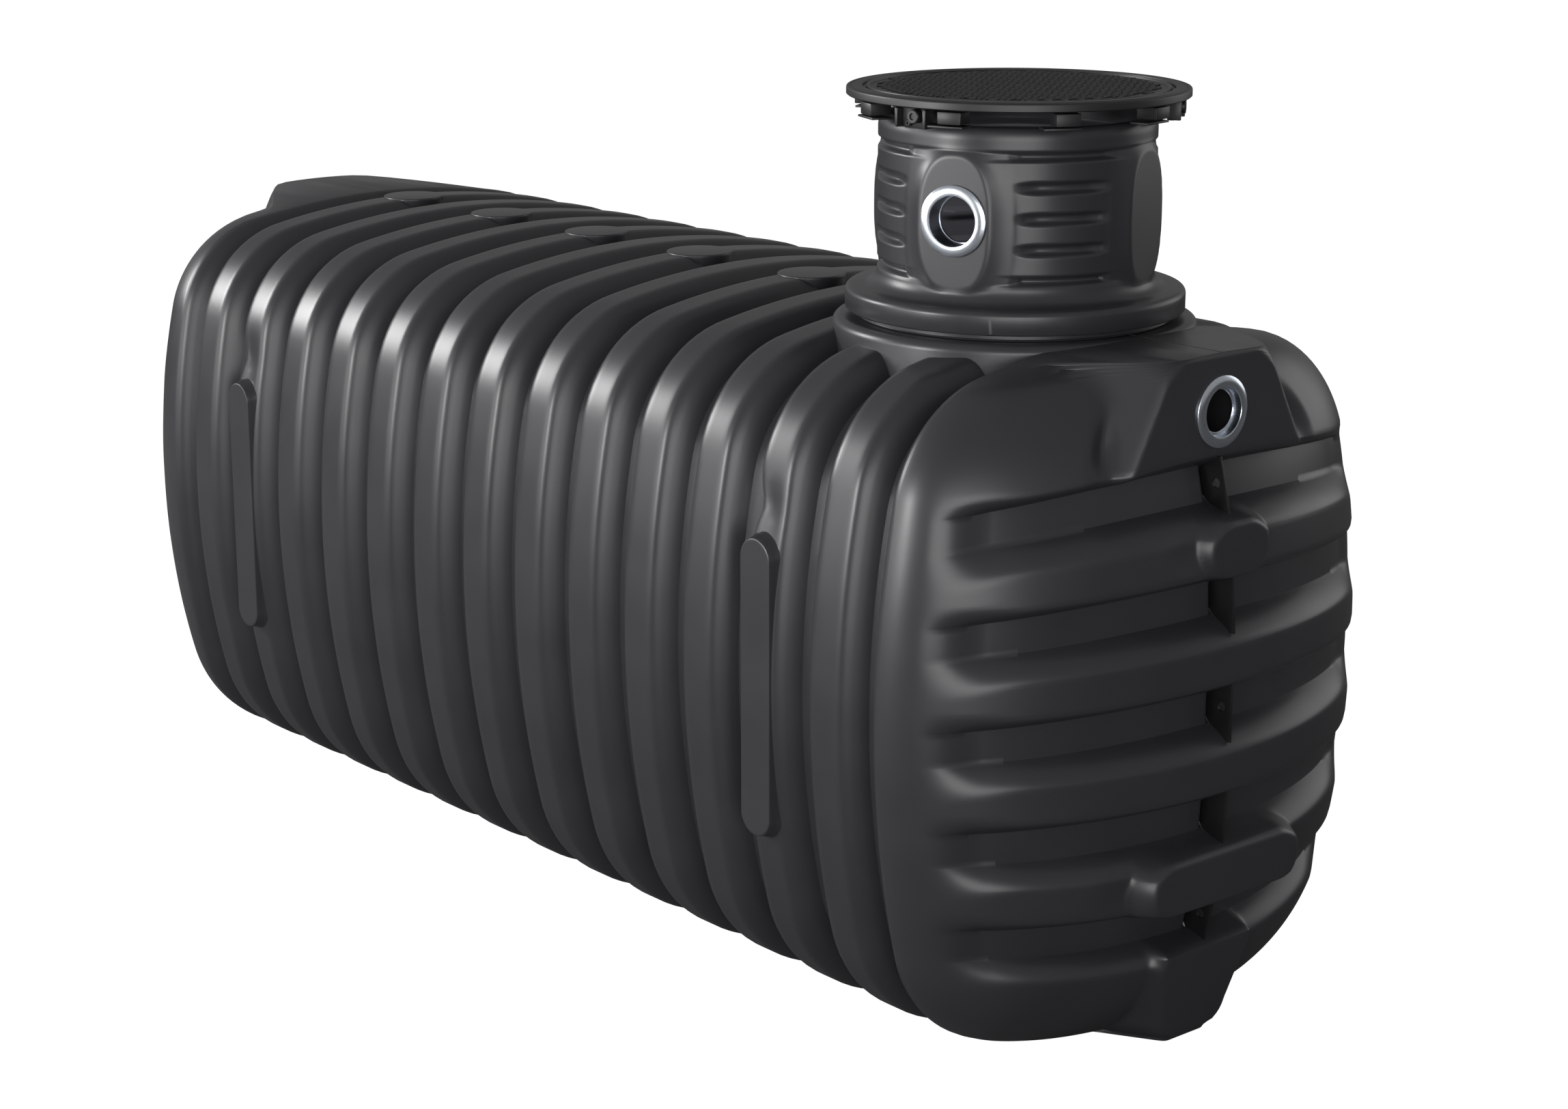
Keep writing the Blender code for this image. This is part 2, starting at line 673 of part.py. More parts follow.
def add_top_disc(order, number, seat):
    """A round boss level with the crest of a hoop, over the parting plane."""
    shape = bmesh.new()
    top = TANK_TOP + TOP_DISC_PROUD
    place = Matrix.Translation((rib_centre(number), 0.0, top - RIB_DEPTH / 2.0))
    bmesh.ops.create_cone(shape, cap_ends=True, segments=TOP_DISC_POINTS, radius1=TOP_DISC_FOOT_RADIUS,
                          radius2=TOP_DISC_RADIUS, depth=RIB_DEPTH, matrix=place)
    item = add_object(f"top_disc_{order}", shape)
    boolean(item, seat, "DIFFERENCE")
    return item


# Turned pieces

def turned(name, profile, segments, place, group=TANK, material=BLACK_PE):
    """Revolve a closed (radius, height) profile about its own upright axis."""
    mesh = bpy.data.meshes.new(name)
    edges = [(index, (index + 1) % len(profile)) for index in range(len(profile))]
    if profile[0][0] == 0.0 and profile[-1][0] == 0.0:
        edges.pop()
    mesh.from_pydata([(radius, 0.0, height) for radius, height in profile], edges, [])
    item = bpy.data.objects.new(name, mesh)
    item.data.materials.append(material)
    item.matrix_world = place
    group.objects.link(item)
    turn = item.modifiers.new("turn", "SCREW")
    turn.steps = segments
    turn.render_steps = segments
    turn.use_merge_vertices = True
    turn.merge_threshold = 1e-5
    turn.use_smooth_shade = True
    if group is CUTTERS:
        item.hide_render = True
        item.display_type = "WIRE"
    return item


def shaft_place(height=0.0):
    """Frame on the shaft's axis at a height."""
    return Matrix.Translation((SHAFT_X, 0.0, height))


def outward_place(angle, reach, height):
    """Frame whose Z points straight out of the shaft at an angle and reach."""
    turn = Matrix.Rotation(angle, 4, "Z") @ Matrix.Rotation(math.pi / 2.0, 4, "Y")
    spot = Vector((SHAFT_X + reach * math.cos(angle), reach * math.sin(angle), height))
    return Matrix.Translation(spot) @ turn


def arc_points(centre, radii, first, last, steps):
    """Points (radius, height) of an arc between two angles about a centre."""
    points = []
    for index in range(steps + 1):
        turn = first + (last - first) * index / steps
        points.append((centre[0] + radii[0] * math.cos(turn), centre[1] + radii[1] * math.sin(turn)))
    return points


def add_collar():
    """Round platform on the tank's top that carries the shaft."""
    inner = COLLAR_RADIUS - WALL
    fillet = COLLAR_FILLET
    profile = [(SHAFT_BORE, SHAFT_SEAT - GAP), (NECK_RADIUS, SHAFT_SEAT - GAP), (NECK_RADIUS, TANK_TOP)]
    profile += arc_points((COLLAR_RADIUS - fillet, TANK_TOP - fillet), (fillet, fillet),
                          math.pi / 2.0, 0.0, 2)
    profile += [(COLLAR_RADIUS, COLLAR_FOOT), (inner, COLLAR_FOOT), (inner, TANK_TOP - WALL),
                (SHAFT_BORE, TANK_TOP - WALL)]
    return turned("neck_collar", profile, SHAFT_SEGMENTS, shaft_place())


def collar_cutter():
    """Round opening that the collar fills in the hoops and the inlet end."""
    shape = bmesh.new()
    radius = COLLAR_RADIUS + 1.5 * GAP
    bmesh.ops.create_cone(shape, cap_ends=True, segments=SHAFT_SEGMENTS, radius1=radius, radius2=radius,
                          depth=2.0 * COLLAR_RADIUS, matrix=shaft_place(TANK_TOP))
    return add_object("collar_opening", shape, CUTTERS)


def ring_groove(middle):
    """Profile points of a groove all round the shaft, from the top down."""
    half = SHAFT_GROOVE_WIDTH / 2.0
    narrow = SHAFT_GROOVE_FLOOR / 2.0
    floor = SHAFT_RADIUS - GROOVE_CUT
    return [(SHAFT_RADIUS, middle + half), (floor, middle + narrow),
            (floor, middle - narrow), (SHAFT_RADIUS, middle - half)]


def flange_profile():
    """The shaft's foot from its wall down: root fillet, flange and its eased edge."""
    top = SHAFT_SEAT + FLANGE_HEIGHT
    edge = FLANGE_EDGE
    points = arc_points((SHAFT_RADIUS + ROOT_FILLET, top + ROOT_RISE), (ROOT_FILLET, ROOT_RISE),
                        math.pi, 1.5 * math.pi, 3)
    points += arc_points((FLANGE_RADIUS - edge, top - edge), (edge, edge), math.pi / 2.0, 0.0, 2)
    return points + [(FLANGE_RADIUS, SHAFT_SEAT)]


def shaft_profile():
    """Outline of the shaft's wall, down its outer side and up its bore."""
    neck = SHAFT_RADIUS - GROOVE_CUT
    top_groove = SHAFT_GROOVE_TOP + SHAFT_GROOVE_PITCH
    low_groove = SHAFT_SEAT + FLANGE_HEIGHT + ROOT_RISE + LOW_GROOVE_RISE
    outer = [(neck, SHAFT_TOP), (neck, SHAFT_TOP - SHAFT_TOP_CUT),
             (SHAFT_RADIUS, SHAFT_TOP - SHAFT_TOP_CUT - SHAFT_TOP_BEND)]
    outer += ring_groove(top_groove) + ring_groove(low_groove) + flange_profile()
    return outer + [(SHAFT_BORE, SHAFT_SEAT), (SHAFT_BORE, SHAFT_TOP)]


def groove_sector(angle, middle):
    """Ring sector that cuts one short groove between two pads."""
    inner = SHAFT_RADIUS - GROOVE_CUT
    outer = SHAFT_RADIUS + GROOVE_CUT
    narrow = SHAFT_GROOVE_FLOOR / 2.0
    wide = SHAFT_GROOVE_WIDTH - narrow
    corners = [(inner, middle - narrow), (outer, middle - wide),
               (outer, middle + wide), (inner, middle + narrow)]
    rings = []
    for index in range(SECTOR_STEPS + 1):
        turn = angle + SHAFT_GROOVE_SPAN * (index / SECTOR_STEPS - 0.5)
        rings.append([Vector((SHAFT_X + radius * math.cos(turn), radius * math.sin(turn), z))
                      for radius, z in corners])
    shape = loft_rings(rings, capped=True)
    bmesh.ops.recalc_face_normals(shape, faces=shape.faces)
    return shape


def pad_prism(angle):
    """Oval block whose outer face is one of the shaft's flat pads."""
    shape = bmesh.new()
    depth = SHAFT_PAD_REACH - SHAFT_BORE - PAD_BACK
    place = outward_place(angle, SHAFT_PAD_REACH - depth / 2.0, SHAFT_PAD_CENTRE)
    half = SHAFT_PAD_HEIGHT / 2.0
    stretch = Matrix.Diagonal((1.0, SHAFT_PAD_WIDTH / SHAFT_PAD_HEIGHT, 1.0, 1.0))
    bmesh.ops.create_cone(shape, cap_ends=True, segments=PAD_POINTS, radius1=half, radius2=half, depth=depth,
                          matrix=place @ stretch)
    return shape


def add_shaft():
    """The shaft: a turned wall with flat pads and short grooves, and a well for the seal's plate.

    Its solid before the well is cut comes back, for the plate to be cut from.
    """
    item = turned("riser_shaft", shaft_profile(), SHAFT_SEGMENTS, shaft_place())
    quarter = 2.0 * math.pi / SHAFT_PAD_COUNT
    for index in range(SHAFT_PAD_COUNT):
        angle = SHAFT_PAD_ANGLE + quarter * index
        boolean(item, add_object(f"shaft_pad_{index + 1}", pad_prism(angle), CUTTERS), "UNION")
        for row in range(SHAFT_GROOVE_ROWS):
            sector = groove_sector(angle + quarter / 2.0, SHAFT_GROOVE_TOP - SHAFT_GROOVE_PITCH * row)
            tool = add_object(f"shaft_groove_{index + 1}_{row + 1}", sector, CUTTERS)
            boolean(item, tool, "DIFFERENCE")
    solid = item.copy()
    solid.name = "shaft_solid"
    solid.hide_render = True
    solid.display_type = "WIRE"
    CUTTERS.objects.link(solid)
    boolean(item, add_object("seal_plate_well", plate_block(GAP), CUTTERS), "DIFFERENCE")
    return solid


def plate_block(clearance):
    """Square block right through the shaft's wall, round the seal's flange."""
    back, front = SHAFT_BORE - SHAFT_WALL, SHAFT_PAD_REACH + SHAFT_WALL
    size = 2.0 * (SEAL_OUTER_RADIUS + SEAL_PLATE_MARGIN + clearance)
    place = outward_place(SHAFT_PAD_ANGLE, (back + front) / 2.0, SHAFT_SEAL_HEIGHT)
    shape = bmesh.new()
    bmesh.ops.create_cube(shape, size=1.0, matrix=place @ Matrix.Diagonal((size, size, front - back, 1.0)))
    return shape


def add_seal_plate(solid):
    """The part of the shaft's wall that holds the seal, bored for its sleeve."""
    item = add_object("shaft_seal_plate", plate_block(0.0))
    boolean(item, solid, "INTERSECT")
    place = outward_place(SHAFT_PAD_ANGLE, SHAFT_PAD_REACH, SHAFT_SEAL_HEIGHT)
    boolean(item, seal_bore("shaft_bore", place), "DIFFERENCE")


# Pipe seals

def seal_bore(name, place):
    """Round bore that a seal's sleeve passes through."""
    shape = bmesh.new()
    radius = SEAL_SLEEVE_RADIUS + GAP
    bmesh.ops.create_cone(shape, cap_ends=True, segments=SEAL_SEGMENTS, radius1=radius, radius2=radius,
                          depth=4.0 * SEAL_LENGTH, matrix=place)
    return add_object(name, shape, CUTTERS)


def add_seal(name, place):
    """A ring with a flat flange outside the wall and a sleeve through it."""
    face = GAP + SEAL_FLANGE
    edge = SEAL_EDGE
    lip = SEAL_MOUTH_RADIUS - SEAL_LIP
    profile = [(SEAL_MOUTH_RADIUS, face), (SEAL_OUTER_RADIUS - edge, face), (SEAL_OUTER_RADIUS, face - edge),
               (SEAL_OUTER_RADIUS, GAP), (SEAL_SLEEVE_RADIUS, GAP), (SEAL_SLEEVE_RADIUS, -SEAL_LENGTH),
               (lip, -SEAL_LENGTH), (lip, SEAL_LIP_THICKNESS - SEAL_LENGTH),
               (SEAL_MOUTH_RADIUS, 2.0 * SEAL_LIP_THICKNESS - SEAL_LENGTH)]
    return turned(name, profile, SEAL_SEGMENTS, place, material=SEAL_METAL)


def inlet_place():
    """Frame on the inlet panel, with Z pointing straight out of it."""
    spot = Matrix.Translation((panel_face(False), 0.0, INLET_HEIGHT))
    return spot @ Matrix.Rotation(math.pi / 2.0, 4, "Y")


# Cover, its frame and the screw brackets

def rim_place(angle, reach, height):
    """Frame at a reach from the shaft's axis, with X pointing outwards."""
    return shaft_place(height) @ Matrix.Rotation(angle, 4, "Z") @ Matrix.Translation((reach, 0.0, 0.0))


def rim_block(angle, inner, outer, low, high, width):
    """A block on the shaft's rim that points outwards at an angle."""
    shape = bmesh.new()
    place = rim_place(angle, (inner + outer) / 2.0, (low + high) / 2.0)
    stretch = Matrix.Diagonal((outer - inner, width, high - low, 1.0))
    bmesh.ops.create_cube(shape, size=1.0, matrix=place @ stretch)
    return shape


def add_cover_frame():
    """Turned ring on the shaft's top, with lugs that carry the cover's rim."""
    top = COVER_SEAT - GAP
    wide = FRAME_RADIUS + FRAME_STEP
    band = FRAME_SEAT + FRAME_BAND
    profile = [(SHAFT_BORE, top), (FRAME_RADIUS, top), (FRAME_RADIUS, band + FRAME_STEP), (wide, band),
               (wide, FRAME_SEAT + FRAME_STEP), (wide - FRAME_STEP, FRAME_SEAT), (SHAFT_BORE, FRAME_SEAT)]
    item = turned("cover_frame", profile, SHAFT_SEGMENTS, shaft_place(), material=COVER_PE)
    for index in range(LUG_COUNT):
        angle = LUG_ANGLE + 2.0 * math.pi * index / LUG_COUNT
        block = rim_block(angle, FRAME_RADIUS - LUG_ROOT, LUG_REACH, top - LUG_HEIGHT, top, LUG_WIDTH)
        boolean(item, add_object(f"frame_lug_{index + 1}", block, CUTTERS), "UNION")
    return item


def add_bracket(number):
    """Screw bracket under the cover's rim, narrower below, with a boss for its screw."""
    angle = BRACKET_ANGLE + 2.0 * math.pi * (number - 1) / BRACKET_COUNT
    top = COVER_SEAT - GAP
    foot = top - BRACKET_HEIGHT
    inner = FRAME_RADIUS + FRAME_STEP + GAP
    rings = []
    for width, reach, height in ((BRACKET_FOOT_WIDTH, BRACKET_REACH - BRACKET_TAPER, foot),
                                 (BRACKET_WIDTH, BRACKET_REACH, foot + BRACKET_HEIGHT / 2.0),
                                 (BRACKET_WIDTH, BRACKET_REACH, top)):
        place = rim_place(angle, 0.0, height)
        corners = [(inner, -width / 2.0), (reach, -width / 2.0), (reach, width / 2.0), (inner, width / 2.0)]
        rings.append([place @ Vector((x, y, 0.0)) for x, y in corners])
    shape = loft_rings(rings, capped=True)
    bmesh.ops.recalc_face_normals(shape, faces=shape.faces)
    item = add_object(f"screw_bracket_{number}", shape, material=COVER_PE)
    boss = bmesh.new()
    middle = rim_place(angle, BRACKET_REACH, foot + BRACKET_HEIGHT / 2.0)
    bmesh.ops.create_cone(boss, cap_ends=True, segments=BOSS_POINTS, radius1=BOSS_RADIUS, radius2=BOSS_RADIUS,
                          depth=2.0 * BOSS_REACH, matrix=middle @ Matrix.Rotation(math.pi / 2.0, 4, "Y"))
    boolean(item, add_object(f"bracket_boss_{number}", boss, CUTTERS), "UNION")
    return item


def add_cover():
    """The round cover: a disc with a rounded rim and a ring groove near it."""
    rim, edge = COVER_RADIUS, COVER_EDGE
    inner = rim - COVER_RIM_WIDTH
    plate = COVER_TOP - COVER_RIM_STEP
    profile = [(0.0, plate), (inner - COVER_GROOVE_WIDTH, plate), (inner, plate - COVER_GROOVE_DEPTH),
               (inner + COVER_GROOVE_WIDTH, plate), (inner + 2.0 * COVER_GROOVE_WIDTH, COVER_TOP)]
    profile += arc_points((rim - edge, COVER_TOP - edge), (edge, edge), math.pi / 2.0, 0.0, 2)
    profile += [(rim, COVER_SEAT + edge), (rim - edge, COVER_SEAT), (0.0, COVER_SEAT)]
    return turned("access_cover", profile, SHAFT_SEGMENTS, shaft_place(), material=COVER_PE)


def build_tank():
    """Make every piece of the tank."""
    opening = collar_cutter()
    for number in range(1, RIB_COUNT + 1):
        hoop = add_hoop(number)
        if abs(rib_centre(number) - SHAFT_X) < COLLAR_RADIUS + RIB_PITCH / 2.0:
            boolean(hoop, opening, "DIFFERENCE")
    near = add_end("inlet_end", False)
    boolean(near, opening, "DIFFERENCE")
    boolean(near, seal_bore("inlet_bore", inlet_place()), "DIFFERENCE")
    add_end("far_end", True)
    for number in range(1, GROOVE_COUNT + 1):
        add_web(number, False)
        add_web(number, True)
    seats = {number: filled_hoop(number) for number in sorted(set(SIDE_PAD_RIBS + TOP_DISC_RIBS))}
    for number in SIDE_PAD_RIBS:
        add_side_pad(number, -1.0, seats[number])
        add_side_pad(number, 1.0, seats[number])
    for order, number in enumerate(TOP_DISC_RIBS, start=1):
        add_top_disc(order, number, seats[number])
    add_collar()
    add_seal_plate(add_shaft())
    add_seal("inlet_pipe_seal", inlet_place())
    add_seal("shaft_pipe_seal", outward_place(SHAFT_PAD_ANGLE, SHAFT_PAD_REACH, SHAFT_SEAL_HEIGHT))
    add_cover_frame()
    for number in range(1, BRACKET_COUNT + 1):
        add_bracket(number)
    add_cover()


build_tank()
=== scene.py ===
# %% [markdown]
# # A buried rainwater tank, from its hull to its cover
# The real tank is blow-moulded from black polyethylene in one shot: a ribbed barrel, two domed ends
# and a round seat for the shaft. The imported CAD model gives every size. This script dresses it with
# finer skins, and each skin stays where its CAD node is.

# %% Load the frame
import math
from contextlib import contextmanager
from itertools import product

import bpy
import numpy as np
from mathutils import Matrix, Vector


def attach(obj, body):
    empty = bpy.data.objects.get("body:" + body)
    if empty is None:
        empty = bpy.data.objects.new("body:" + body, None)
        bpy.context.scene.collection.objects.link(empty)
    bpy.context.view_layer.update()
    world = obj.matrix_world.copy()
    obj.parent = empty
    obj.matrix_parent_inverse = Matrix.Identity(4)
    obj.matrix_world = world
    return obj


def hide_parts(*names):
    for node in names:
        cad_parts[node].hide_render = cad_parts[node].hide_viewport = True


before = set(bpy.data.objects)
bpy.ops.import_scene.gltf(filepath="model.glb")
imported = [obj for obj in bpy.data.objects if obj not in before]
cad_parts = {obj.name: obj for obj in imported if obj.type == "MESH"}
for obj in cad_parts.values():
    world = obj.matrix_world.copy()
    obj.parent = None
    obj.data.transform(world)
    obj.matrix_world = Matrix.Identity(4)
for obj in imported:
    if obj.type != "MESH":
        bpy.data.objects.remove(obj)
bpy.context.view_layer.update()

scene = bpy.context.scene

# %% [markdown]
# ## The camera
# The camera stands where the photographer's did: in front of the inlet end, to the left of the tank
# and a little above it. It comes first, so that each later piece can be judged by its look from here.

# %% Camera
LENS_MM = 68.646
SENSOR_MM = 36.0
EYE = Vector((6.1478, -4.9280, 2.8973))
LOOK = Vector((-0.73658, 0.62560, -0.25705))

camera_data = bpy.data.cameras.new("tank_camera")
camera_data.lens = LENS_MM
camera_data.sensor_width = SENSOR_MM
camera_data.clip_end = 60.0
camera = bpy.data.objects.new("tank_camera", camera_data)
camera.location = EYE
camera.rotation_euler = LOOK.to_track_quat("-Z", "Y").to_euler()
scene.collection.objects.link(camera)
scene.camera = camera
print("camera's lens:", LENS_MM, "mm")

# %% [markdown]
# ## Materials
# Blow-moulded polyethylene comes out of its mould satin: the mould's fine sand-blasted texture
# breaks up the gloss, and the skin pulls in a little as it cools, so a long highlight wavers.
# Each material is made of small nodes that read object coordinates, in metres.

# %% Helpers for materials
def linear(code):
    """An sRGB hex code as the linear colour that a shader takes."""
    parts = [int(code[index:index + 2], 16) / 255.0 for index in (1, 3, 5)]
    return tuple(part / 12.92 if part <= 0.04045 else ((part + 0.055) / 1.055) ** 2.4
                 for part in parts) + (1.0,)


def add_node(material, kind, settings=(), inputs=(), links=()):
    """Add a node, set it up, and link its inputs to the outputs of others."""
    node = material.node_tree.nodes.new(kind)
    for key, value in dict(settings).items():
        setattr(node, key, value)
    for key, value in dict(inputs).items():
        node.inputs[key].default_value = value
    for key, output in dict(links).items():
        material.node_tree.links.new(output, node.inputs[key])
    return node


def new_finish(name, roughness, metallic, specular):
    """A material with its shader's plain values set."""
    material = bpy.data.materials.new(name)
    material.use_nodes = True
    shader = material.node_tree.nodes["Principled BSDF"]
    shader.inputs["Roughness"].default_value = roughness
    shader.inputs["Metallic"].default_value = metallic
    shader.inputs["Specular IOR Level"].default_value = specular
    return material, shader


# %% [markdown]
# Polyethylene's index of refraction is about 1.51. Carbon black colours it through, and the eye sees
# a grey a little lighter than black wherever a lamp lights it. The grain of the mould is 0.4 mm
# across, too fine to show from five metres, so it is drawn as 3 mm here.

# %% Blow-moulded polyethylene
GRAIN_MM = 3.0
SINK_MM = 160.0
SMOOTHER = 0.04
ROUGHER = 0.05


def moulded_polyethylene(name, dark, light, roughness):
    """Satin blow-moulded plastic, with mould grain and slow sink waves."""
    material, shader = new_finish(name, roughness, 0.0, 0.5)
    shader.inputs["IOR"].default_value = 1.51
    place = add_node(material, "ShaderNodeTexCoord")
    grain = add_node(material, "ShaderNodeTexNoise", (),
                     {"Scale": 1000.0 / GRAIN_MM, "Detail": 2.0}, {"Vector": place.outputs["Object"]})
    sink = add_node(material, "ShaderNodeTexNoise", (),
                    {"Scale": 1000.0 / SINK_MM, "Detail": 1.0}, {"Vector": place.outputs["Object"]})
    tone = add_node(material, "ShaderNodeMix", {"data_type": "RGBA"},
                    {"A": linear(dark), "B": linear(light)}, {"Factor": sink.outputs["Fac"]})
    gloss = add_node(material, "ShaderNodeMapRange", (),
                     {"To Min": roughness - SMOOTHER, "To Max": roughness + ROUGHER},
                     {"Value": sink.outputs["Fac"]})
    fine = add_node(material, "ShaderNodeBump", (), {"Strength": 0.06, "Distance": 0.0006},
                    {"Height": grain.outputs["Fac"]})
    slow = add_node(material, "ShaderNodeBump", (), {"Strength": 0.12, "Distance": 0.004},
                    {"Height": sink.outputs["Fac"], "Normal": fine.outputs["Normal"]})
    links = material.node_tree.links
    links.new(tone.outputs["Result"], shader.inputs["Base Color"])
    links.new(gloss.outputs["Result"], shader.inputs["Roughness"])
    links.new(slow.outputs["Normal"], shader.inputs["Normal"])
    return material


hull_finish = moulded_polyethylene("blow_moulded_polyethylene", "#2B2B2E", "#303033", 0.35)
# The webs are the hull's own plastic: their near-black finish is painted shade, as they stand deep in the
# grooves.
painted_shade_web_finish = moulded_polyethylene("web_painted_shade", "#0B0B0C", "#101011", 0.46)
# The cover's finish also serves as painted shade inside the inlet's hole.
cover_and_hole_shade_finish = moulded_polyethylene("injection_moulded_cover", "#19191B", "#1F1F21", 0.44)
print("finishes:", hull_finish.name, painted_shade_web_finish.name, cover_and_hole_shade_finish.name)

# %% [markdown]
# The pipe seals end in bright turned rings. The tool's fine marks break up their highlights a little.

# %% Turned bright ring
BRUSH_MM = 3.2


def turned_metal(name, code, roughness):
    """Bright turned metal with fine marks of the tool."""
    material, shader = new_finish(name, roughness, 1.0, 0.5)
    place = add_node(material, "ShaderNodeTexCoord")
    marks = add_node(material, "ShaderNodeTexNoise", (),
                     {"Scale": 1000.0 / BRUSH_MM, "Detail": 3.0}, {"Vector": place.outputs["Object"]})
    tone = add_node(material, "ShaderNodeMix", {"data_type": "RGBA"},
                    {"A": linear(code), "B": linear("#F2F5FA")}, {"Factor": marks.outputs["Fac"]})
    bump = add_node(material, "ShaderNodeBump", (), {"Strength": 0.08, "Distance": 0.0003},
                    {"Height": marks.outputs["Fac"]})
    material.node_tree.links.new(tone.outputs["Result"], shader.inputs["Base Color"])
    material.node_tree.links.new(bump.outputs["Normal"], shader.inputs["Normal"])
    return material


ring_finish = turned_metal("turned_bright_ring", "#C9D2E0", 0.24)
print("finish:", ring_finish.name)

# %% [markdown]
# ## Sizes that the pieces share
# The tank's section is a rounded box. Its sides and its crown are wide arcs, and a tighter arc joins
# them at each corner. The same lengths are in the CAD source, so the skins lie on its solids.

# %% Shared sizes
QUARTER = 0.5 * math.pi
RIB_COUNT = 13
MIDDLE_RIB = 7
RIB_PITCH = 0.2276
RIB_DEPTH = 0.060
CREST_WIDTH = 0.104
CREST_FLAT = 0.036
FLANK_WIDTH = 0.056
HALF_WIDTH = 0.7505
MIDDLE_Z = 0.850
HALF_TOP = 0.786
TANK_TOP = MIDDLE_Z + HALF_TOP
HALF_BOTTOM = 0.862
SIDE_RADIUS = 2.36
CROWN_RADIUS = 2.30
CORNER_RADII = (0.362, 0.320)
BARREL_HALF = RIB_COUNT * RIB_PITCH / 2.0
END_CENTRE = BARREL_HALF + (RIB_PITCH - CREST_WIDTH) / 2.0
END_LENGTH = 0.3705
NOSE_POWER_ABOVE = 2.7
NOSE_POWER_BELOW = 2.8
END_SIDE_STEP = 0.002
TIP = END_CENTRE + END_LENGTH
SHAFT_X = 1.1855
MERGE_DISTANCE = 0.00001
print("barrel", round(2.0 * BARREL_HALF, 3), "m long, tank top at", TANK_TOP, "m")


# %% Helpers for forms
def rib_place(number):
    """Where a rib's middle lies along X."""
    return (number - MIDDLE_RIB) * RIB_PITCH


def signed_power(value, power):
    """A power that keeps the sign of its base."""
    return np.sign(value) * np.abs(value) ** power


def section_arcs(inset, upper):
    """Centre y, centre rise and radius of the side, corner and crown arcs, and where they meet."""
    half = (HALF_TOP if upper else HALF_BOTTOM) - inset
    side, crown, corner = SIDE_RADIUS - inset, CROWN_RADIUS - inset, CORNER_RADII[upper] - inset
    across, along = HALF_WIDTH - inset - side, half - crown
    apart = math.hypot(across, along)
    share = ((side - corner) ** 2 - (crown - corner) ** 2 + apart ** 2) / (2.0 * apart)
    rise = math.sqrt((side - corner) ** 2 - share ** 2)
    middle = (across - (share * across + rise * along) / apart, (share * along - rise * across) / apart)
    start = math.atan2(middle[1], middle[0] - across)
    end = math.atan2(middle[1] - along, middle[0])
    return ((across, 0.0, side), middle + (corner,), (0.0, along, crown)), (start, end)


def section_half(height, inset=0.0):
    """Half width of the section at each height."""
    rise = np.asarray(height, float) - MIDDLE_Z
    half = np.zeros(rise.shape)
    for upper in (False, True):
        ((across, _, side), (y, middle, corner), (_, along, crown)), (start, end) = section_arcs(inset, upper)
        level = np.abs(rise)
        on_side = across + np.sqrt(np.maximum(side ** 2 - level ** 2, 0.0))
        on_corner = y + np.sqrt(np.maximum(corner ** 2 - (level - middle) ** 2, 0.0))
        on_crown = np.sqrt(np.maximum(crown ** 2 - (level - along) ** 2, 0.0))
        part = np.where(level <= side * math.sin(start), on_side,
                        np.where(level <= middle + corner * math.sin(end), on_corner, on_crown))
        half = np.where((rise >= 0.0) == upper, part, half)
    return half


def nose_share(height):
    """Share of its full reach that a dome's nose has at each height."""
    rise = np.asarray(height, float) - MIDDLE_Z
    up = np.clip(rise / HALF_TOP, 0.0, 1.0)
    down = np.clip(-rise / HALF_BOTTOM, 0.0, 1.0)
    above = (1.0 - up ** NOSE_POWER_ABOVE) ** (1.0 / NOSE_POWER_ABOVE)
    below = (1.0 - down ** NOSE_POWER_BELOW) ** (1.0 / NOSE_POWER_BELOW)
    return np.where(rise >= 0.0, above, below)


def soft_step(value, low, high):
    """0 below low, 1 above high, and a smooth rise between them."""
    share = np.clip((value - low) / (high - low), 0.0, 1.0)
    return share * share * (3.0 - 2.0 * share)


def soft_max(first, second, width):
    """The larger of two heights, with a fillet of about that width where they cross."""
    mix = np.clip(0.5 + 0.5 * (first - second) / width, 0.0, 1.0)
    return second + (first - second) * mix + width * mix * (1.0 - mix)


def soft_min(first, second, width):
    """The smaller of two heights, with a round edge where they cross."""
    return -soft_max(-first, -second, width)


# %% [markdown]
# These helpers hold the steps that come with nearly every piece.

# %% Helpers for meshes
def named_piece(name):
    """The piece that was just made, with its name on its mesh too."""
    piece = bpy.context.object
    piece.name = name
    piece.data.name = name
    return piece


def moved_copy(piece, matrix):
    """A copy of a piece with a mesh of its own, moved by a matrix."""
    copy = piece.copy()
    copy.data = piece.data.copy()
    copy.data.transform(matrix)
    scene.collection.objects.link(copy)
    return copy


def select_only(main, others=()):
    """Select pieces, with the main one active."""
    bpy.ops.object.select_all(action="DESELECT")
    for item in [*others, main]:
        item.select_set(True)
    bpy.context.view_layer.objects.active = main


def join_onto(main, others):
    """Join pieces onto a main one."""
    select_only(main, others)
    bpy.ops.object.join()


@contextmanager
def editing():
    """Edit mode with the whole mesh of the active piece selected."""
    bpy.ops.object.mode_set(mode="EDIT")
    bpy.ops.mesh.select_all(action="SELECT")
    yield
    bpy.ops.object.mode_set(mode="OBJECT")


def extrude_scaled(shift, scale, centre):
    """Extrude what is selected, and scale its new edge about a centre."""
    bpy.ops.mesh.extrude_region_move(TRANSFORM_OT_translate={"value": shift})
    bpy.ops.transform.resize(value=scale, center_override=centre)


def cube_piece(name, corner, bevel):
    """A cube whose corners go where a function puts them, with bevelled edges."""
    bpy.ops.mesh.primitive_cube_add(size=1.0)
    piece = named_piece(name)
    for vertex in piece.data.vertices:
        vertex.co = corner(vertex.co.x > 0.0, math.copysign(1.0, vertex.co.y), vertex.co.z > 0.0)
    with editing():
        bpy.ops.mesh.bevel(offset=bevel, segments=2)
    return piece


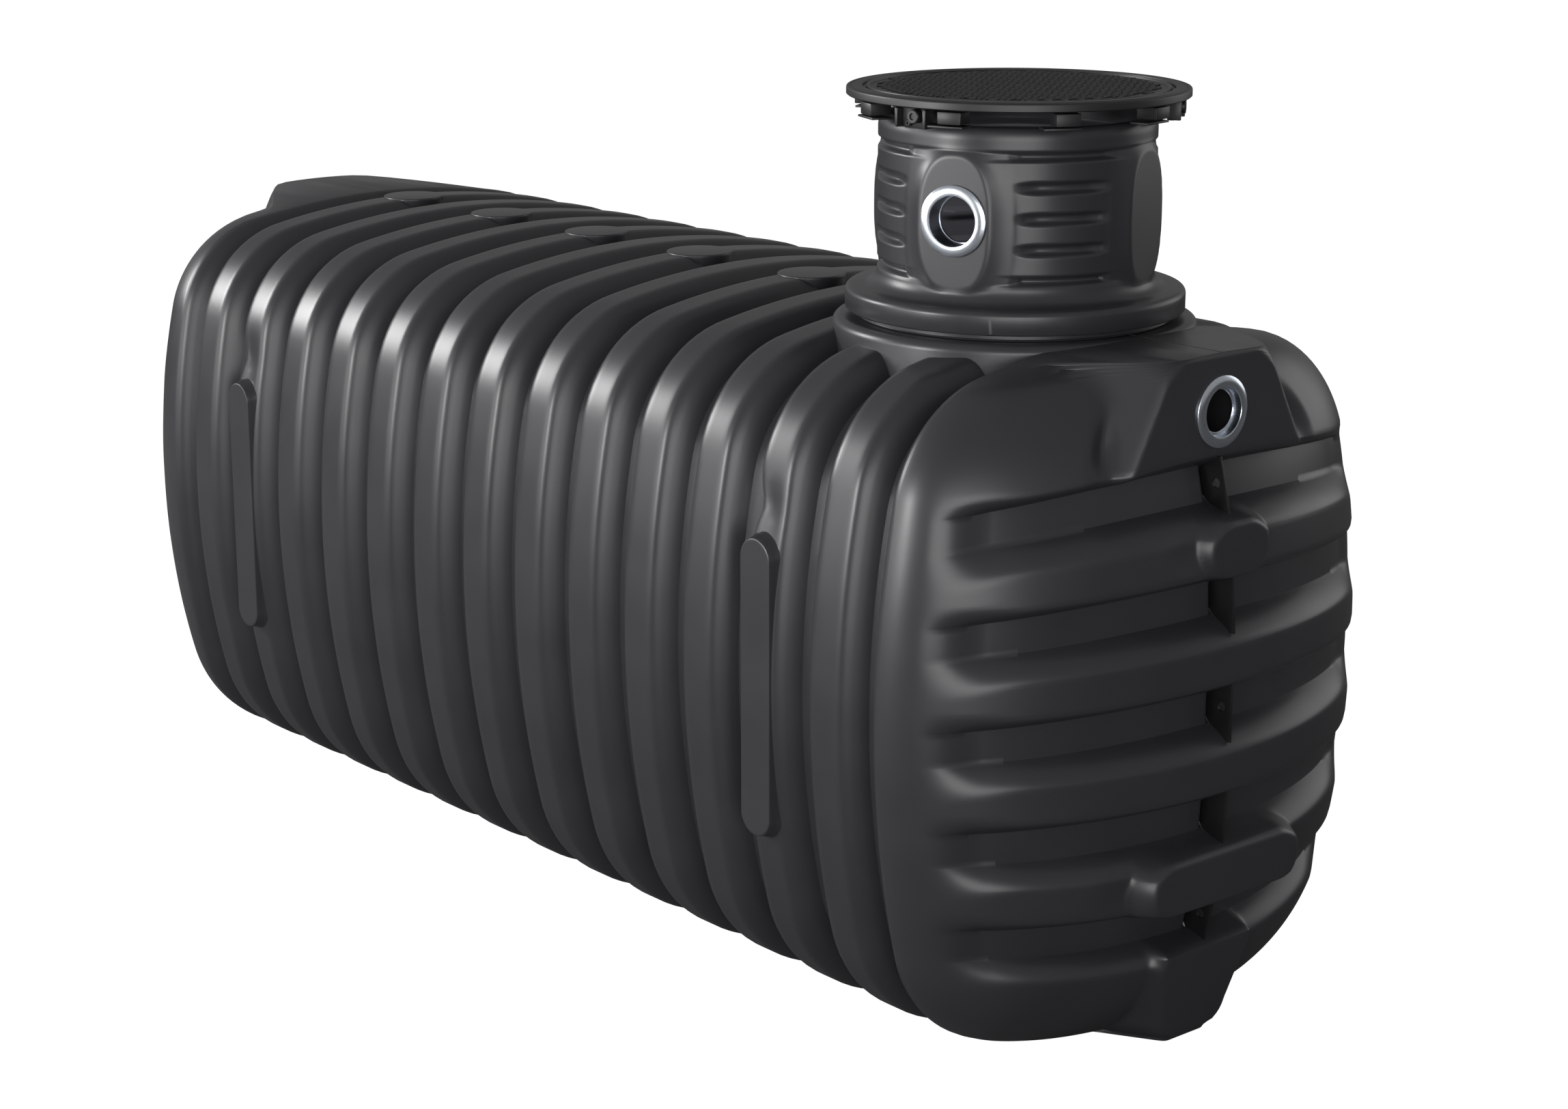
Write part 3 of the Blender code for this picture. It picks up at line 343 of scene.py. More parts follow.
def bore(piece, sides, radius, length, spot, turn):
    """Cut a round hole out of a piece, and clear its tool away."""
    bpy.ops.mesh.primitive_cylinder_add(vertices=sides, radius=radius, depth=length,
                                        location=spot, rotation=turn)
    tool = bpy.context.object
    select_only(piece)
    modifier = piece.modifiers.new("bore", "BOOLEAN")
    modifier.operation = "DIFFERENCE"
    modifier.object = tool
    bpy.ops.object.modifier_apply(modifier=modifier.name)
    bpy.data.objects.remove(tool)


def close_up(piece):
    """Merge doubles, fill what is open, and turn the faces outwards."""
    select_only(piece)
    with editing():
        bpy.ops.mesh.select_mode(type="VERT")
        bpy.ops.mesh.remove_doubles(threshold=MERGE_DISTANCE)
        bpy.ops.mesh.select_non_manifold(extend=False, use_wire=False, use_boundary=True,
                                         use_multi_face=False, use_non_contiguous=False, use_verts=False)
        bpy.ops.mesh.edge_face_add()
        bpy.ops.mesh.select_all(action="SELECT")
        bpy.ops.mesh.normals_make_consistent(inside=False)


def grid_piece(name, places):
    """A closed skin over a table of places, started from a grid primitive."""
    rows, columns, _ = places.shape
    bpy.ops.mesh.primitive_grid_add(x_subdivisions=columns - 1, y_subdivisions=rows - 1, size=2.0)
    piece = named_piece(name)
    piece.data.vertices.foreach_set("co", places.reshape(-1))
    piece.data.update()
    close_up(piece)
    return piece


def finish_piece(piece, finish, angle, nodes):
    """Shade, paint and seat a piece, and let it stand for its CAD nodes."""
    select_only(piece)
    bpy.ops.object.transform_apply()
    bpy.ops.object.shade_smooth_by_angle(angle=math.radians(angle))
    piece.data.materials.clear()
    piece.data.materials.append(finish)
    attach(piece, "root")
    if nodes:
        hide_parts(*nodes)
    print(piece.name, len(piece.data.polygons), "faces")


# %% [markdown]
# ## The ribbed barrel
# Thirteen ribs stiffen the hull against the ground. One rib is made from a circle that is shaped to
# the section, then extruded along the tank and scaled in and out, as the mould's ring is turned.

# %% One rib
RING_POINTS = 184
RIB_STATIONS = 24
STATION_POWER = 0.9
ARC_SAMPLES = 400
FLANK_REACH = 1.2
FLANK_SWELL = 0.4
VALLEY_FILLET = 0.14


def section_ring(count):
    """Points (y, z) round the rib's crest, at even steps of its length."""
    ring_y, ring_z = [], []
    for upper, sign in ((True, 1.0), (False, -1.0)):
        arcs, (start, end) = section_arcs(0.0, upper)
        spans = ((0.0, start), (start, end), (end, QUARTER))
        turns = [np.linspace(*span, ARC_SAMPLES) for span in spans]
        y = np.concatenate([arc[0] + arc[2] * np.cos(turn) for arc, turn in zip(arcs, turns)])
        rise = np.concatenate([arc[1] + arc[2] * np.sin(turn) for arc, turn in zip(arcs, turns)])
        ring_y += [sign * y, -sign * y[::-1]]
        ring_z += [sign * rise, sign * rise[::-1]]
    ring_y = np.concatenate(ring_y)
    ring_z = np.maximum(MIDDLE_Z + np.concatenate(ring_z), 0.0)
    run = np.concatenate([[0.0], np.cumsum(np.hypot(np.diff(ring_y), np.diff(ring_z)))])
    spots = np.linspace(0.0, run[-1], count, endpoint=False)
    return np.interp(spots, run, ring_y), np.interp(spots, run, ring_z)


def rib_inset(offset):
    """How far the skin lies inside the crest, at an offset along X from the rib's middle."""
    share = np.clip((np.abs(offset) - CREST_FLAT) / FLANK_WIDTH, 0.0, FLANK_REACH)
    rise = share ** 2 * (1.0 + FLANK_SWELL * share ** 3)
    return RIB_DEPTH * np.clip(soft_min(rise, 1.0, VALLEY_FILLET), 0.0, 1.0)


def add_rib():
    """The middle rib, an open band from valley to valley."""
    bpy.ops.mesh.primitive_circle_add(vertices=RING_POINTS, radius=HALF_WIDTH)
    rib = bpy.context.object
    ring_y, ring_z = section_ring(RING_POINTS)
    even = np.linspace(-1.0, 1.0, RIB_STATIONS + 1)
    stations = 0.5 * RIB_PITCH * signed_power(even, STATION_POWER)
    first = 1.0 - rib_inset(stations[0]) / HALF_TOP
    for vertex, y, z in zip(rib.data.vertices, ring_y, ring_z):
        vertex.co = (stations[0], y * first, MIDDLE_Z + (z - MIDDLE_Z) * first)
    last, scale = stations[0], first
    with editing():
        for station in stations[1:]:
            wanted = 1.0 - rib_inset(station) / HALF_TOP
            share = wanted / scale
            extrude_scaled((station - last, 0.0, 0.0), (1.0, share, share), (0.0, 0.0, MIDDLE_Z))
            last, scale = station, wanted
    return rib


rib = add_rib()
print("one rib:", len(rib.data.vertices), "points")

# %% [markdown]
# The other twelve ribs are copies. Above each upright pad the rib is pinched, where the mould steps
# out to the pad: its crest leans along the tank and sinks a little.

# %% Thirteen ribs in a row
PINCHED_RIBS = (2, 12)
PINCH_LOW = 1.12
PINCH_HIGH = 1.40
PINCH_REACH = 0.11
# Each bump has a height, a middle and a width.
PINCH = (1.0, 1.262, 0.048)
LEAN = (0.022, -0.058, 0.034)
SINK = (0.012, -0.012, 0.040)


def bump(value, height, middle, width):
    """A smooth bump of a height and a width round its middle."""
    return height * math.exp(-((value - middle) / width) ** 2)


copies = []
for number in range(1, RIB_COUNT + 1):
    if number != MIDDLE_RIB:
        copies.append(moved_copy(rib, Matrix.Translation((rib_place(number), 0.0, 0.0))))
join_onto(rib, copies)
rib.name = "moulded_barrel"
for vertex in rib.data.vertices:
    for number in PINCHED_RIBS:
        offset = vertex.co.x - rib_place(number)
        if abs(offset) < PINCH_REACH and PINCH_LOW < vertex.co.z < PINCH_HIGH:
            pinch = bump(vertex.co.z, *PINCH)
            vertex.co.x += pinch * bump(offset, *LEAN)
            vertex.co.y -= math.copysign(pinch * bump(offset, *SINK), vertex.co.y)
close_up(rib)
finish_piece(rib, hull_finish, 60.0,
             [f"rib_hoop_{number:02d}" for number in range(1, RIB_COUNT + 1)])

# %% [markdown]
# ## The domed ends
# Each end is a dome that is full at its flanks and flatter on its nose. Five grooves run level across
# it and bow a little towards the corners. Spin and bevel can't give such a double curve, so a grid is
# laid over the dome and its points are moved to the form, as a mould maker's mill follows the surface.

# %% The dome's form
GROOVE_COUNT = 5
TOP_GROOVE_DROP = 0.3025
LOW_GROOVE_HEIGHT = 0.3095
GROOVES = np.linspace(TANK_TOP - TOP_GROOVE_DROP, LOW_GROOVE_HEIGHT, GROOVE_COUNT)
GROOVE_FLOOR = 0.040
GROOVE_DEPTH = 0.070
UPPER_LIP = 0.034
LOWER_LIP = 0.060
PAD_LIP = 0.026
LIP_POWER = 1.7
LIP_FLARE = 0.5
FLARE_TURNS = (math.radians(45.0), math.radians(70.0))
GROOVE_BOW = 0.0934
BOW_LEVEL = 0.75
BOW_FADE_TOP = 0.2
BOW_FADE_LOW = 0.15


def groove_share(height, turn, upper_lip, lower_lip):
    """Share of the groove's depth at a level height: 1 on its floor, 0 on the land."""
    share = np.zeros(np.broadcast(height, turn).shape)
    flare = 1.0 + LIP_FLARE * soft_step(np.abs(turn), *FLARE_TURNS)
    for middle in GROOVES:
        above = (height - middle - GROOVE_FLOOR) / (upper_lip * flare)
        below = (middle - GROOVE_FLOOR - height) / (lower_lip * flare)
        outside = np.clip(np.maximum(above, below), 0.0, 1.0)
        share = np.maximum(share, (1.0 - outside) ** LIP_POWER)
    return share


def dome_place(turn, level, power):
    """The smooth dome's point at an angle in plan and a level height, and its plan factors."""
    fade = soft_step(TANK_TOP - level, 0.0, BOW_FADE_TOP) * soft_step(level, 0.0, BOW_FADE_LOW)
    bowed = level - GROOVE_BOW * (level - BOW_LEVEL) * np.sin(turn) ** 2 * fade
    plan_x = signed_power(np.cos(turn), 2.0 / power)
    plan_y = signed_power(np.sin(turn), 2.0 / power)
    x = END_CENTRE + END_LENGTH * nose_share(bowed) * plan_x
    half = section_half(bowed) - END_SIDE_STEP
    return x, half, bowed + 0.0 * turn, plan_x, plan_y


# %% [markdown]
# The panel for the pipe, the two pads and the foot stand out of the dome. Each is a height along X,
# and where it meets the dome the larger of the two is taken with a fillet. A hollow lies beside the
# panel's upper corners, and a slight dent beside each pad.

# %% Panel, pads and foot
LAND_MARGIN = 0.0245
INLET_DROP = 0.133
INLET_HEIGHT = TANK_TOP - INLET_DROP
PANEL_RISE = 0.127
PANEL_LOW = GROOVES[0] + GROOVE_FLOOR + LAND_MARGIN
PANEL_HIGH = INLET_HEIGHT + PANEL_RISE
PANEL_LOW_HALF = 0.272
PANEL_HIGH_HALF = 0.150
PANEL_SIDE_COSINE = 0.885
PANEL_CORNER = 0.05
PANEL_FACE_NEAR = 1.8407
PANEL_FACE_FAR = 1.8997
PANEL_SLOPE = 1.9
PANEL_FILLET = 0.030
FILLET_DEPTH = 0.06
LEAST_FILLET = 0.000001
FACE_ROUND = 0.012
HOLLOW_SIDE = 0.2925
HOLLOW_LEAN = 0.45
HOLLOW_HEIGHT = 1.45
HOLLOW_HALVES = (0.075, 0.110)
HOLLOW_DEPTH = 0.030
HOLLOW_EDGE = 0.1
FOOT_GAP = 0.013
FOOT_KNEE = 0.055
FOOT_HALF = 0.050
FOOT_KNEE_HALF = 0.104
FOOT_TOP = GROOVES[-1] - GROOVE_FLOOR - LAND_MARGIN
FOOT_TOP_HALF = 0.146
FOOT_CORNER = 0.01
FOOT_SETBACK = 0.1015
FOOT_RAKE = 0.0575
FOOT_SLOPE = 1.7
FOOT_ROUND = 0.018
FOOT_FILLET = 0.014
STEEP_RANGE = (-0.02, 0.01)
# A pad has the number of the groove over it, half its length and half its height.
SMALL_PAD = (0, 0.088, 0.064)
LONG_PAD = (3, 0.237, 0.062)
END_PAD_STAND = 0.006
END_PAD_SLOPE = 0.9
END_PAD_CURVE = 16.0
END_PAD_FILLET = 0.005
END_PAD_BORDER = 0.05
DENT_GAP = 0.055
DENT_RISE = 0.004
DENT_HALVES = (0.080, 0.085)
DENT_DEPTH = 0.005
GROOVE_END_TURNS = (-math.radians(76.0), -math.radians(54.0))
POCKET_WIDTH = 0.014
POCKET_DEPTH = 0.020
POCKET_SLOPE = 0.009
POCKET_EDGE = 0.004
POCKET_END = 0.012


def oval_share(y, z, halves, high):
    """A share that falls smoothly from an oval's middle to 0 at its edge."""
    return soft_step(-np.hypot(y / halves[0], z / halves[1]), -1.0, high)


def panel_distance(y, z):
    """How far a point lies outside the panel's outline, negative inside it."""
    rise = (z - PANEL_LOW) / (PANEL_HIGH - PANEL_LOW)
    half = PANEL_LOW_HALF + (PANEL_HIGH_HALF - PANEL_LOW_HALF) * rise
    side = (np.abs(y) - half) * PANEL_SIDE_COSINE
    return soft_max(side, z - PANEL_HIGH, PANEL_CORNER)


def stadium_distance(y, z, half_long, half_short):
    """How far a point lies outside a pad with round ends."""
    reach = np.maximum(np.abs(y) - (half_long - half_short), 0.0)
    return np.hypot(reach, z) - half_short


def foot_distance(y, z):
    """How far a point lies outside the foot's U."""
    rise = np.clip((z - FOOT_GAP) / FOOT_KNEE, 0.0, 1.0)
    knee = FOOT_HALF + (FOOT_KNEE_HALF - FOOT_HALF) * np.sqrt(1.0 - (1.0 - rise) ** 2)
    above = np.clip((z - FOOT_GAP - FOOT_KNEE) / (FOOT_TOP - FOOT_GAP - FOOT_KNEE), 0.0, 1.0)
    half = knee + (FOOT_TOP_HALF - FOOT_KNEE_HALF) * above
    return soft_max(np.abs(y) - half, FOOT_GAP - z, FOOT_CORNER)


def raised_face(away, face, slope, round_off):
    """A flat face that falls away outside its outline, with a round edge."""
    return face - slope * soft_max(away - 0.5 * round_off, 0.0, round_off)


def with_foot(x, y, z):
    """The depth with the foot's sloping front, and where the foot's edge is steep."""
    away = foot_distance(y, z)
    face = TIP - FOOT_SETBACK + FOOT_RAKE * z / FOOT_TOP
    foot = raised_face(away, face, FOOT_SLOPE, FOOT_ROUND)
    return soft_max(x, foot, FOOT_FILLET), soft_step(-away, *STEEP_RANGE)


def with_panel(x, y, z, face):
    """The depth with the hollows and the panel."""
    rise = z - HOLLOW_HEIGHT
    side = np.abs(y) - HOLLOW_SIDE + HOLLOW_LEAN * rise
    hollow = x - HOLLOW_DEPTH * oval_share(side, rise, HOLLOW_HALVES, HOLLOW_EDGE)
    away = panel_distance(y, z)
    panel = raised_face(away, face, PANEL_SLOPE, FACE_ROUND)
    fillet_width = PANEL_FILLET * np.clip((face - hollow) / FILLET_DEPTH, 0.0, 1.0) + LEAST_FILLET
    return np.where(away < 0.0, face, soft_max(hollow, panel, fillet_width))


def with_features(x, y, z, level, face):
    """The dome's depth with its panel, pads, foot and dents, and where their edges are steep."""
    footed, steep = with_foot(x, y, z)
    x = np.where(level < GROOVES[-1], footed, x)
    steep = np.where(level < GROOVES[-1], steep, 0.0)
    x = np.where(level > GROOVES[0], with_panel(x, y, z, face), x)
    for groove, half_long, half_short in (SMALL_PAD, LONG_PAD):
        middle = 0.5 * (GROOVES[groove] + GROOVES[groove + 1])
        land = (level < GROOVES[groove]) & (level > GROOVES[groove + 1])
        dent = oval_share(y + half_long + DENT_GAP, z - middle - DENT_RISE, DENT_HALVES, 0.0)
        x = np.where(land, x - DENT_DEPTH * dent, x)
        away = stadium_distance(y, z - middle, half_long, half_short)
        pad = raised_face(away, TIP + END_PAD_STAND, END_PAD_SLOPE, FACE_ROUND)
        pad = pad - END_PAD_CURVE * np.maximum(away, 0.0) ** 2
        x = np.where(land & (away < END_PAD_BORDER), soft_max(x, pad, END_PAD_FILLET), x)
        steep = np.where(land, soft_step(-away, *STEEP_RANGE), steep)
    return x, steep


def with_grooves(x, features, turn, level, steep, plan_x, y):
    """The end's depth with its grooves and the pockets beside the webs cut into it."""
    fade = soft_step(-np.abs(turn), *GROOVE_END_TURNS)
    soft = groove_share(level, turn, UPPER_LIP, LOWER_LIP)
    sharp = groove_share(level, turn, PAD_LIP, PAD_LIP)
    share = (soft + (sharp - soft) * steep) * fade
    floor = x - GROOVE_DEPTH * plan_x
    x = features - share * (features - floor)
    window = soft_step(y, -POCKET_WIDTH, POCKET_SLOPE - POCKET_WIDTH) * soft_step(-y, 0.0, POCKET_EDGE)
    for middle in GROOVES:
        x = x - POCKET_DEPTH * window * soft_step(GROOVE_FLOOR - np.abs(level - middle), 0.0, POCKET_END)
    return x


# %% [markdown]
# The grid's rows lie close together on the lips of the grooves, where the form turns fastest. Past
# the dome the same sheet runs on as the barrel's last valley.

# %% Both ends
ROWS_BELOW = 20
GROOVE_ROWS = [10, 6, 9, 7]
CROWN_ROWS = 29
FOOT_ROWS = (0.0, 0.35, 0.7)
SKIRT_ROWS = 8
NEAR_POWER = 1.9
FAR_POWER = 2.2
NEAR_COLUMNS = 400
FAR_COLUMNS = 180
PULL_IN = 0.5
PULL_IN_MOST = 0.04
MOUTH_RADIUS = 0.072
MOUTH_EDGE = 0.006
MOUTH_DEPTH = 0.15


def end_rows():
    """Level heights of the grid, close together on the lips."""
    marks = [FOOT_GAP]
    for middle in reversed(GROOVES):
        floor_low, floor_high = middle - GROOVE_FLOOR, middle + GROOVE_FLOOR
        marks += [floor_low - LOWER_LIP, floor_low, floor_high, floor_high + UPPER_LIP]
    counts = [ROWS_BELOW] + GROOVE_ROWS * GROOVE_COUNT
    rows = [FOOT_GAP * np.array(FOOT_ROWS)]
    for low, high, count in zip(marks, marks[1:], counts):
        rows.append(np.linspace(low, high, count, endpoint=False))
    rise = np.sin(np.linspace(0.0, QUARTER, CROWN_ROWS))
    return np.concatenate(rows + [marks[-1] + (TANK_TOP - marks[-1]) * rise])


def add_end(name, far, columns, nodes):
    """One domed end: a grid over the dome, then the last valley of the barrel."""
    power = FAR_POWER if far else NEAR_POWER
    face = PANEL_FACE_FAR if far else PANEL_FACE_NEAR
    turns = np.linspace(-QUARTER, QUARTER, columns)[:, None]
    heights = end_rows()[None, :]
    smooth, half, z, plan_x, plan_y = dome_place(turns, heights, power)
    levels = heights + 0.0 * turns
    y = half * plan_y
    features, steep = with_features(smooth, y, z, levels, face)
    x = with_grooves(smooth, features, turns, levels, steep, plan_x, y)
    y = y - np.clip((smooth - x) * PULL_IN, 0.0, PULL_IN_MOST) * plan_y * (1.0 - plan_x)
    if not far:
        x = x - MOUTH_DEPTH * soft_step(MOUTH_RADIUS - np.hypot(y, z - INLET_HEIGHT), 0.0, MOUTH_EDGE)
    dome = np.stack([x, y, z], axis=2)
    skirts = []
    for station in np.linspace(0.0, 1.0, SKIRT_ROWS, endpoint=False):
        place = BARREL_HALF + station * (END_CENTRE - BARREL_HALF)
        inset = rib_inset(END_CENTRE + CREST_FLAT - place)
        level = inset + heights[0] / TANK_TOP * (TANK_TOP - 2.0 * inset)
        half = section_half(level, inset) - END_SIDE_STEP
        skirts.append(np.stack([np.full_like(level, place), half, level], axis=1))
    left = [column * (1.0, -1.0, 1.0) for column in skirts]
    table = np.stack(left + list(dome) + skirts[::-1], axis=0)
    if far:
        table = table * (-1.0, -1.0, 1.0)
    piece = grid_piece(name, table)
    finish_piece(piece, hull_finish, 50.0, nodes)


add_end("inlet_end_skin", False, NEAR_COLUMNS, ["inlet_end"])
add_end("far_end_skin", True, FAR_COLUMNS, ["far_end"])

# %% [markdown]
# ## Webs in the grooves
# Where the mould closes, the plastic is pinched to a thin web across each groove. Three of the five
# have a round hole for a rope.

# %% Parting webs
WEB_HALF_THICKNESS = 0.003
WEB_BELOW = 0.034
WEB_ABOVE = 0.028
WEB_SETBACK = 0.006
WEB_REACH = GROOVE_DEPTH + POCKET_DEPTH + 0.004
WEB_BEVEL = 0.0016
ROPE_HOLE_RADIUS = 0.0115
ROPE_HOLE_LENGTH = 0.02
ROPE_HOLE_SETBACK = 0.036
ROPE_HOLE_RISE = 0.006


def add_web(number, middle):
    """One web, whose front follows the dome, with a rope hole if its number is odd."""
    def corner(front, side, top):
        level = middle + GROOVE_FLOOR + WEB_ABOVE if top else middle - GROOVE_FLOOR - WEB_BELOW
        x = END_CENTRE + float(nose_share(level)) * END_LENGTH - WEB_SETBACK
        return x if front else x - WEB_REACH, side * WEB_HALF_THICKNESS, level

    web = cube_piece(f"parting_web_skin_{number}", corner, WEB_BEVEL)
    if number % 2:
        depth = END_CENTRE + float(nose_share(middle)) * END_LENGTH - ROPE_HOLE_SETBACK
        spot = (depth, 0.0, middle + ROPE_HOLE_RISE)
        bore(web, 40, ROPE_HOLE_RADIUS, ROPE_HOLE_LENGTH, spot, (QUARTER, 0.0, 0.0))
    return web


for number, middle in enumerate(GROOVES, start=1):
    web = add_web(number, float(middle))
    other = moved_copy(web, Matrix.Rotation(math.pi, 4, "Z"))
    other.name = f"parting_web_far_skin_{number}"
    for piece, end in ((web, "near"), (other, "far")):
        finish_piece(piece, painted_shade_web_finish, 30.0, [f"parting_web_{end}_{number}"])

# %% [markdown]
# ## The neck: shaft and collar
# The shaft's wall carries four flat pads for pipes, and between them three short grooves stiffen it.
# It is one grid, wound round the shaft's outline, that is pushed out where a pad stands and in where
# a groove runs. The wall is thin, so the bore shows the same grooves as ridges.

# %% The shaft's form
SHAFT_TOP = 2.106
SHAFT_SEAT = 1.651
SHAFT_RADIUS = 0.325
SHAFT_WALL = 0.025
EDGE_HEIGHT = 0.030
FLANGE_RADIUS = 0.400
FLANGE_HEIGHT = 0.055
FLANGE_ROUND = 0.015
FLANGE_TOP = SHAFT_SEAT + FLANGE_HEIGHT
FLANGE_CHAMFER = 0.004
ROOT_HEIGHT = 0.042
ROOT_REACH = 0.035
ROOT_TOP = FLANGE_TOP + ROOT_HEIGHT
SPIGOT_RADIUS = 0.372
SPIGOT_DEPTH = 0.012
NECK_BORE = 0.300
GROOVE_CUT = 0.014
UPPER_RING_DROP = 0.064
LOWER_RING_RISE = 0.014
RING_GROOVES = (SHAFT_TOP - UPPER_RING_DROP, ROOT_TOP + LOWER_RING_RISE)
RING_GROOVE_SIDES = (0.002, 0.014)
SHORT_GROOVE_DROPS = (0.134, 0.204, 0.274)
SHORT_GROOVE_FLAT = 0.004
SHORT_GROOVE_SIDE = 0.013
SHORT_GROOVE_TURN = math.radians(10.0)
SHORT_GROOVE_END = math.radians(12.5)
PAD_ANGLE = math.radians(-70.0)
PAD_REACH = 0.330
PAD_HALF_WIDTH = 0.088
PAD_HALF_HEIGHT = 0.151
PAD_CENTRE = 1.8865
PAD_POWER = 2.5
PAD_SLOPE = 0.55
PAD_ROUND = 0.004
PAD_CURVE = 1.5
PAD_CURVE_REACH = 0.08
PAD_BORDER = 0.12
PAD_FILLET = 0.005
SHAFT_SEGMENTS = 400
WALL_ROWS = 120
BORE_ROWS = 80
BORE_RISE = 0.02
ARC_ROWS = 9


def shaft_radius(turn, z, inner):
    """Outer or inner radius of the shaft's wall at an angle and height."""
    from_pad = (turn - PAD_ANGLE + 0.5 * QUARTER) % QUARTER - 0.5 * QUARTER
    from_middle = (turn - PAD_ANGLE) % QUARTER - 0.5 * QUARTER
    cut = np.zeros(np.broadcast(turn, z).shape)
    for middle in RING_GROOVES:
        cut = np.maximum(cut, 1.0 - soft_step(np.abs(z - middle), *RING_GROOVE_SIDES) + 0.0 * turn)
    past_end = np.maximum(np.abs(from_middle) - SHORT_GROOVE_TURN, 0.0) / SHORT_GROOVE_END
    for drop in SHORT_GROOVE_DROPS:
        past_edge = np.maximum(np.abs(z - SHAFT_TOP + drop) - SHORT_GROOVE_FLAT, 0.0) / SHORT_GROOVE_SIDE
        cut = np.maximum(cut, 1.0 - soft_step(np.hypot(past_edge, past_end), 0.0, 1.0))
    radius = SHAFT_RADIUS - GROOVE_CUT * cut
    if inner:
        return radius - SHAFT_WALL
    across = np.abs(PAD_REACH * np.tan(from_pad) / PAD_HALF_WIDTH)
    along = np.abs((z - PAD_CENTRE) / PAD_HALF_HEIGHT)
    oval = (across ** PAD_POWER + along ** PAD_POWER) ** (1.0 / PAD_POWER)
    away = (oval - 1.0) * 0.5 * (PAD_HALF_WIDTH + PAD_HALF_HEIGHT)
    pad = raised_face(away, PAD_REACH / np.cos(from_pad), PAD_SLOPE, PAD_ROUND)
    pad = pad + PAD_CURVE * np.clip(away, 0.0, PAD_CURVE_REACH) ** 2
    top = np.clip((SHAFT_TOP - z) / EDGE_HEIGHT, 0.0, 1.0)
    radius = radius - GROOVE_CUT * (1.0 - np.sqrt(1.0 - (1.0 - top) ** 2))
    root = np.clip((ROOT_TOP - z) / ROOT_HEIGHT, 0.0, 1.0)
    radius = radius + ROOT_REACH * (1.0 - np.sqrt(1.0 - root ** 2))
    return np.where(away < PAD_BORDER, soft_max(radius, pad, PAD_FILLET), radius)


def add_shaft_skin():
    """The shaft with its flange, as one closed wall."""
    turns = np.linspace(0.0, 2.0 * math.pi, SHAFT_SEGMENTS + 1)[:, None]
    arc = np.linspace(0.0, QUARTER, ARC_ROWS)[None, 1:]
    wall = np.linspace(SHAFT_TOP, ROOT_TOP, WALL_ROWS)[None, :]
    root = ROOT_TOP - ROOT_HEIGHT * np.sin(arc)
    bore = np.linspace(SHAFT_SEAT + BORE_RISE, SHAFT_TOP, BORE_ROWS)[None, :]
    edge = FLANGE_RADIUS - FLANGE_ROUND * (1.0 - np.sin(arc)), FLANGE_TOP - FLANGE_ROUND * (1.0 - np.cos(arc))
    foot = ((FLANGE_RADIUS, SHAFT_SEAT + FLANGE_CHAMFER), (FLANGE_RADIUS - FLANGE_CHAMFER, SHAFT_SEAT),
            (SPIGOT_RADIUS, SHAFT_SEAT), (SPIGOT_RADIUS, SHAFT_SEAT - SPIGOT_DEPTH),
            (NECK_BORE, SHAFT_SEAT - SPIGOT_DEPTH))
    parts = [(shaft_radius(turns, wall, False), wall), (shaft_radius(turns, root, False), root), edge,
             np.array(foot).T[:, None, :], (shaft_radius(turns, bore, True), bore)]
    sides = [np.hstack([part[axis] + 0.0 * turns for part in parts]) for axis in (0, 1)]
    radius, height = (np.hstack([side, side[:, :1]]) for side in sides)
    places = np.stack([SHAFT_X + radius * np.cos(turns), radius * np.sin(turns), height], axis=2)
    return grid_piece("riser_shaft_skin", places)


# %% The shaft with its hole
SEAL_HEIGHT = 1.894
SEAL_HOLE_RADIUS = 0.0664
SEAL_HOLE_LENGTH = 0.16

shaft = add_shaft_skin()
pad_out = Vector((math.cos(PAD_ANGLE), math.sin(PAD_ANGLE), 0.0))
pad_turn = pad_out.to_track_quat("Z", "Y")
seal_spot = Vector((SHAFT_X, 0.0, SEAL_HEIGHT)) + PAD_REACH * pad_out
bore(shaft, 72, SEAL_HOLE_RADIUS, SEAL_HOLE_LENGTH, seal_spot, pad_turn.to_euler())
finish_piece(shaft, hull_finish, 45.0, ["riser_shaft", "shaft_seal_plate"])


# %% Turned pieces
AXIS_RADIUS = 0.00001


def turned_piece(name, profile, segments, matrix):
    """A ring of points that is extruded and scaled along a closed profile of (radius, z) pairs."""
    rings = [(max(radius, AXIS_RADIUS), z) for radius, z in profile]
    radius, z = rings[0]
    bpy.ops.mesh.primitive_circle_add(vertices=segments, radius=radius)
    piece = named_piece(name)
    with editing():
        bpy.ops.transform.translate(value=(0.0, 0.0, z))
        for next_radius, next_z in rings[1:]:
            share = next_radius / radius
            extrude_scaled((0.0, 0.0, next_z - z), (share, share, 1.0), (0.0, 0.0, next_z))
            radius, z = next_radius, next_z
    piece.data.transform(matrix)
    close_up(piece)
    return piece


def fillet(centre, size, first, last, steps, flat=1.0):
    """Points (radius, z) of an arc in a profile, between two angles in degrees."""
    turns = np.radians(np.linspace(first, last, steps + 1))
    return [(centre[0] + size * math.cos(turn), centre[1] + flat * size * math.sin(turn)) for turn in turns]


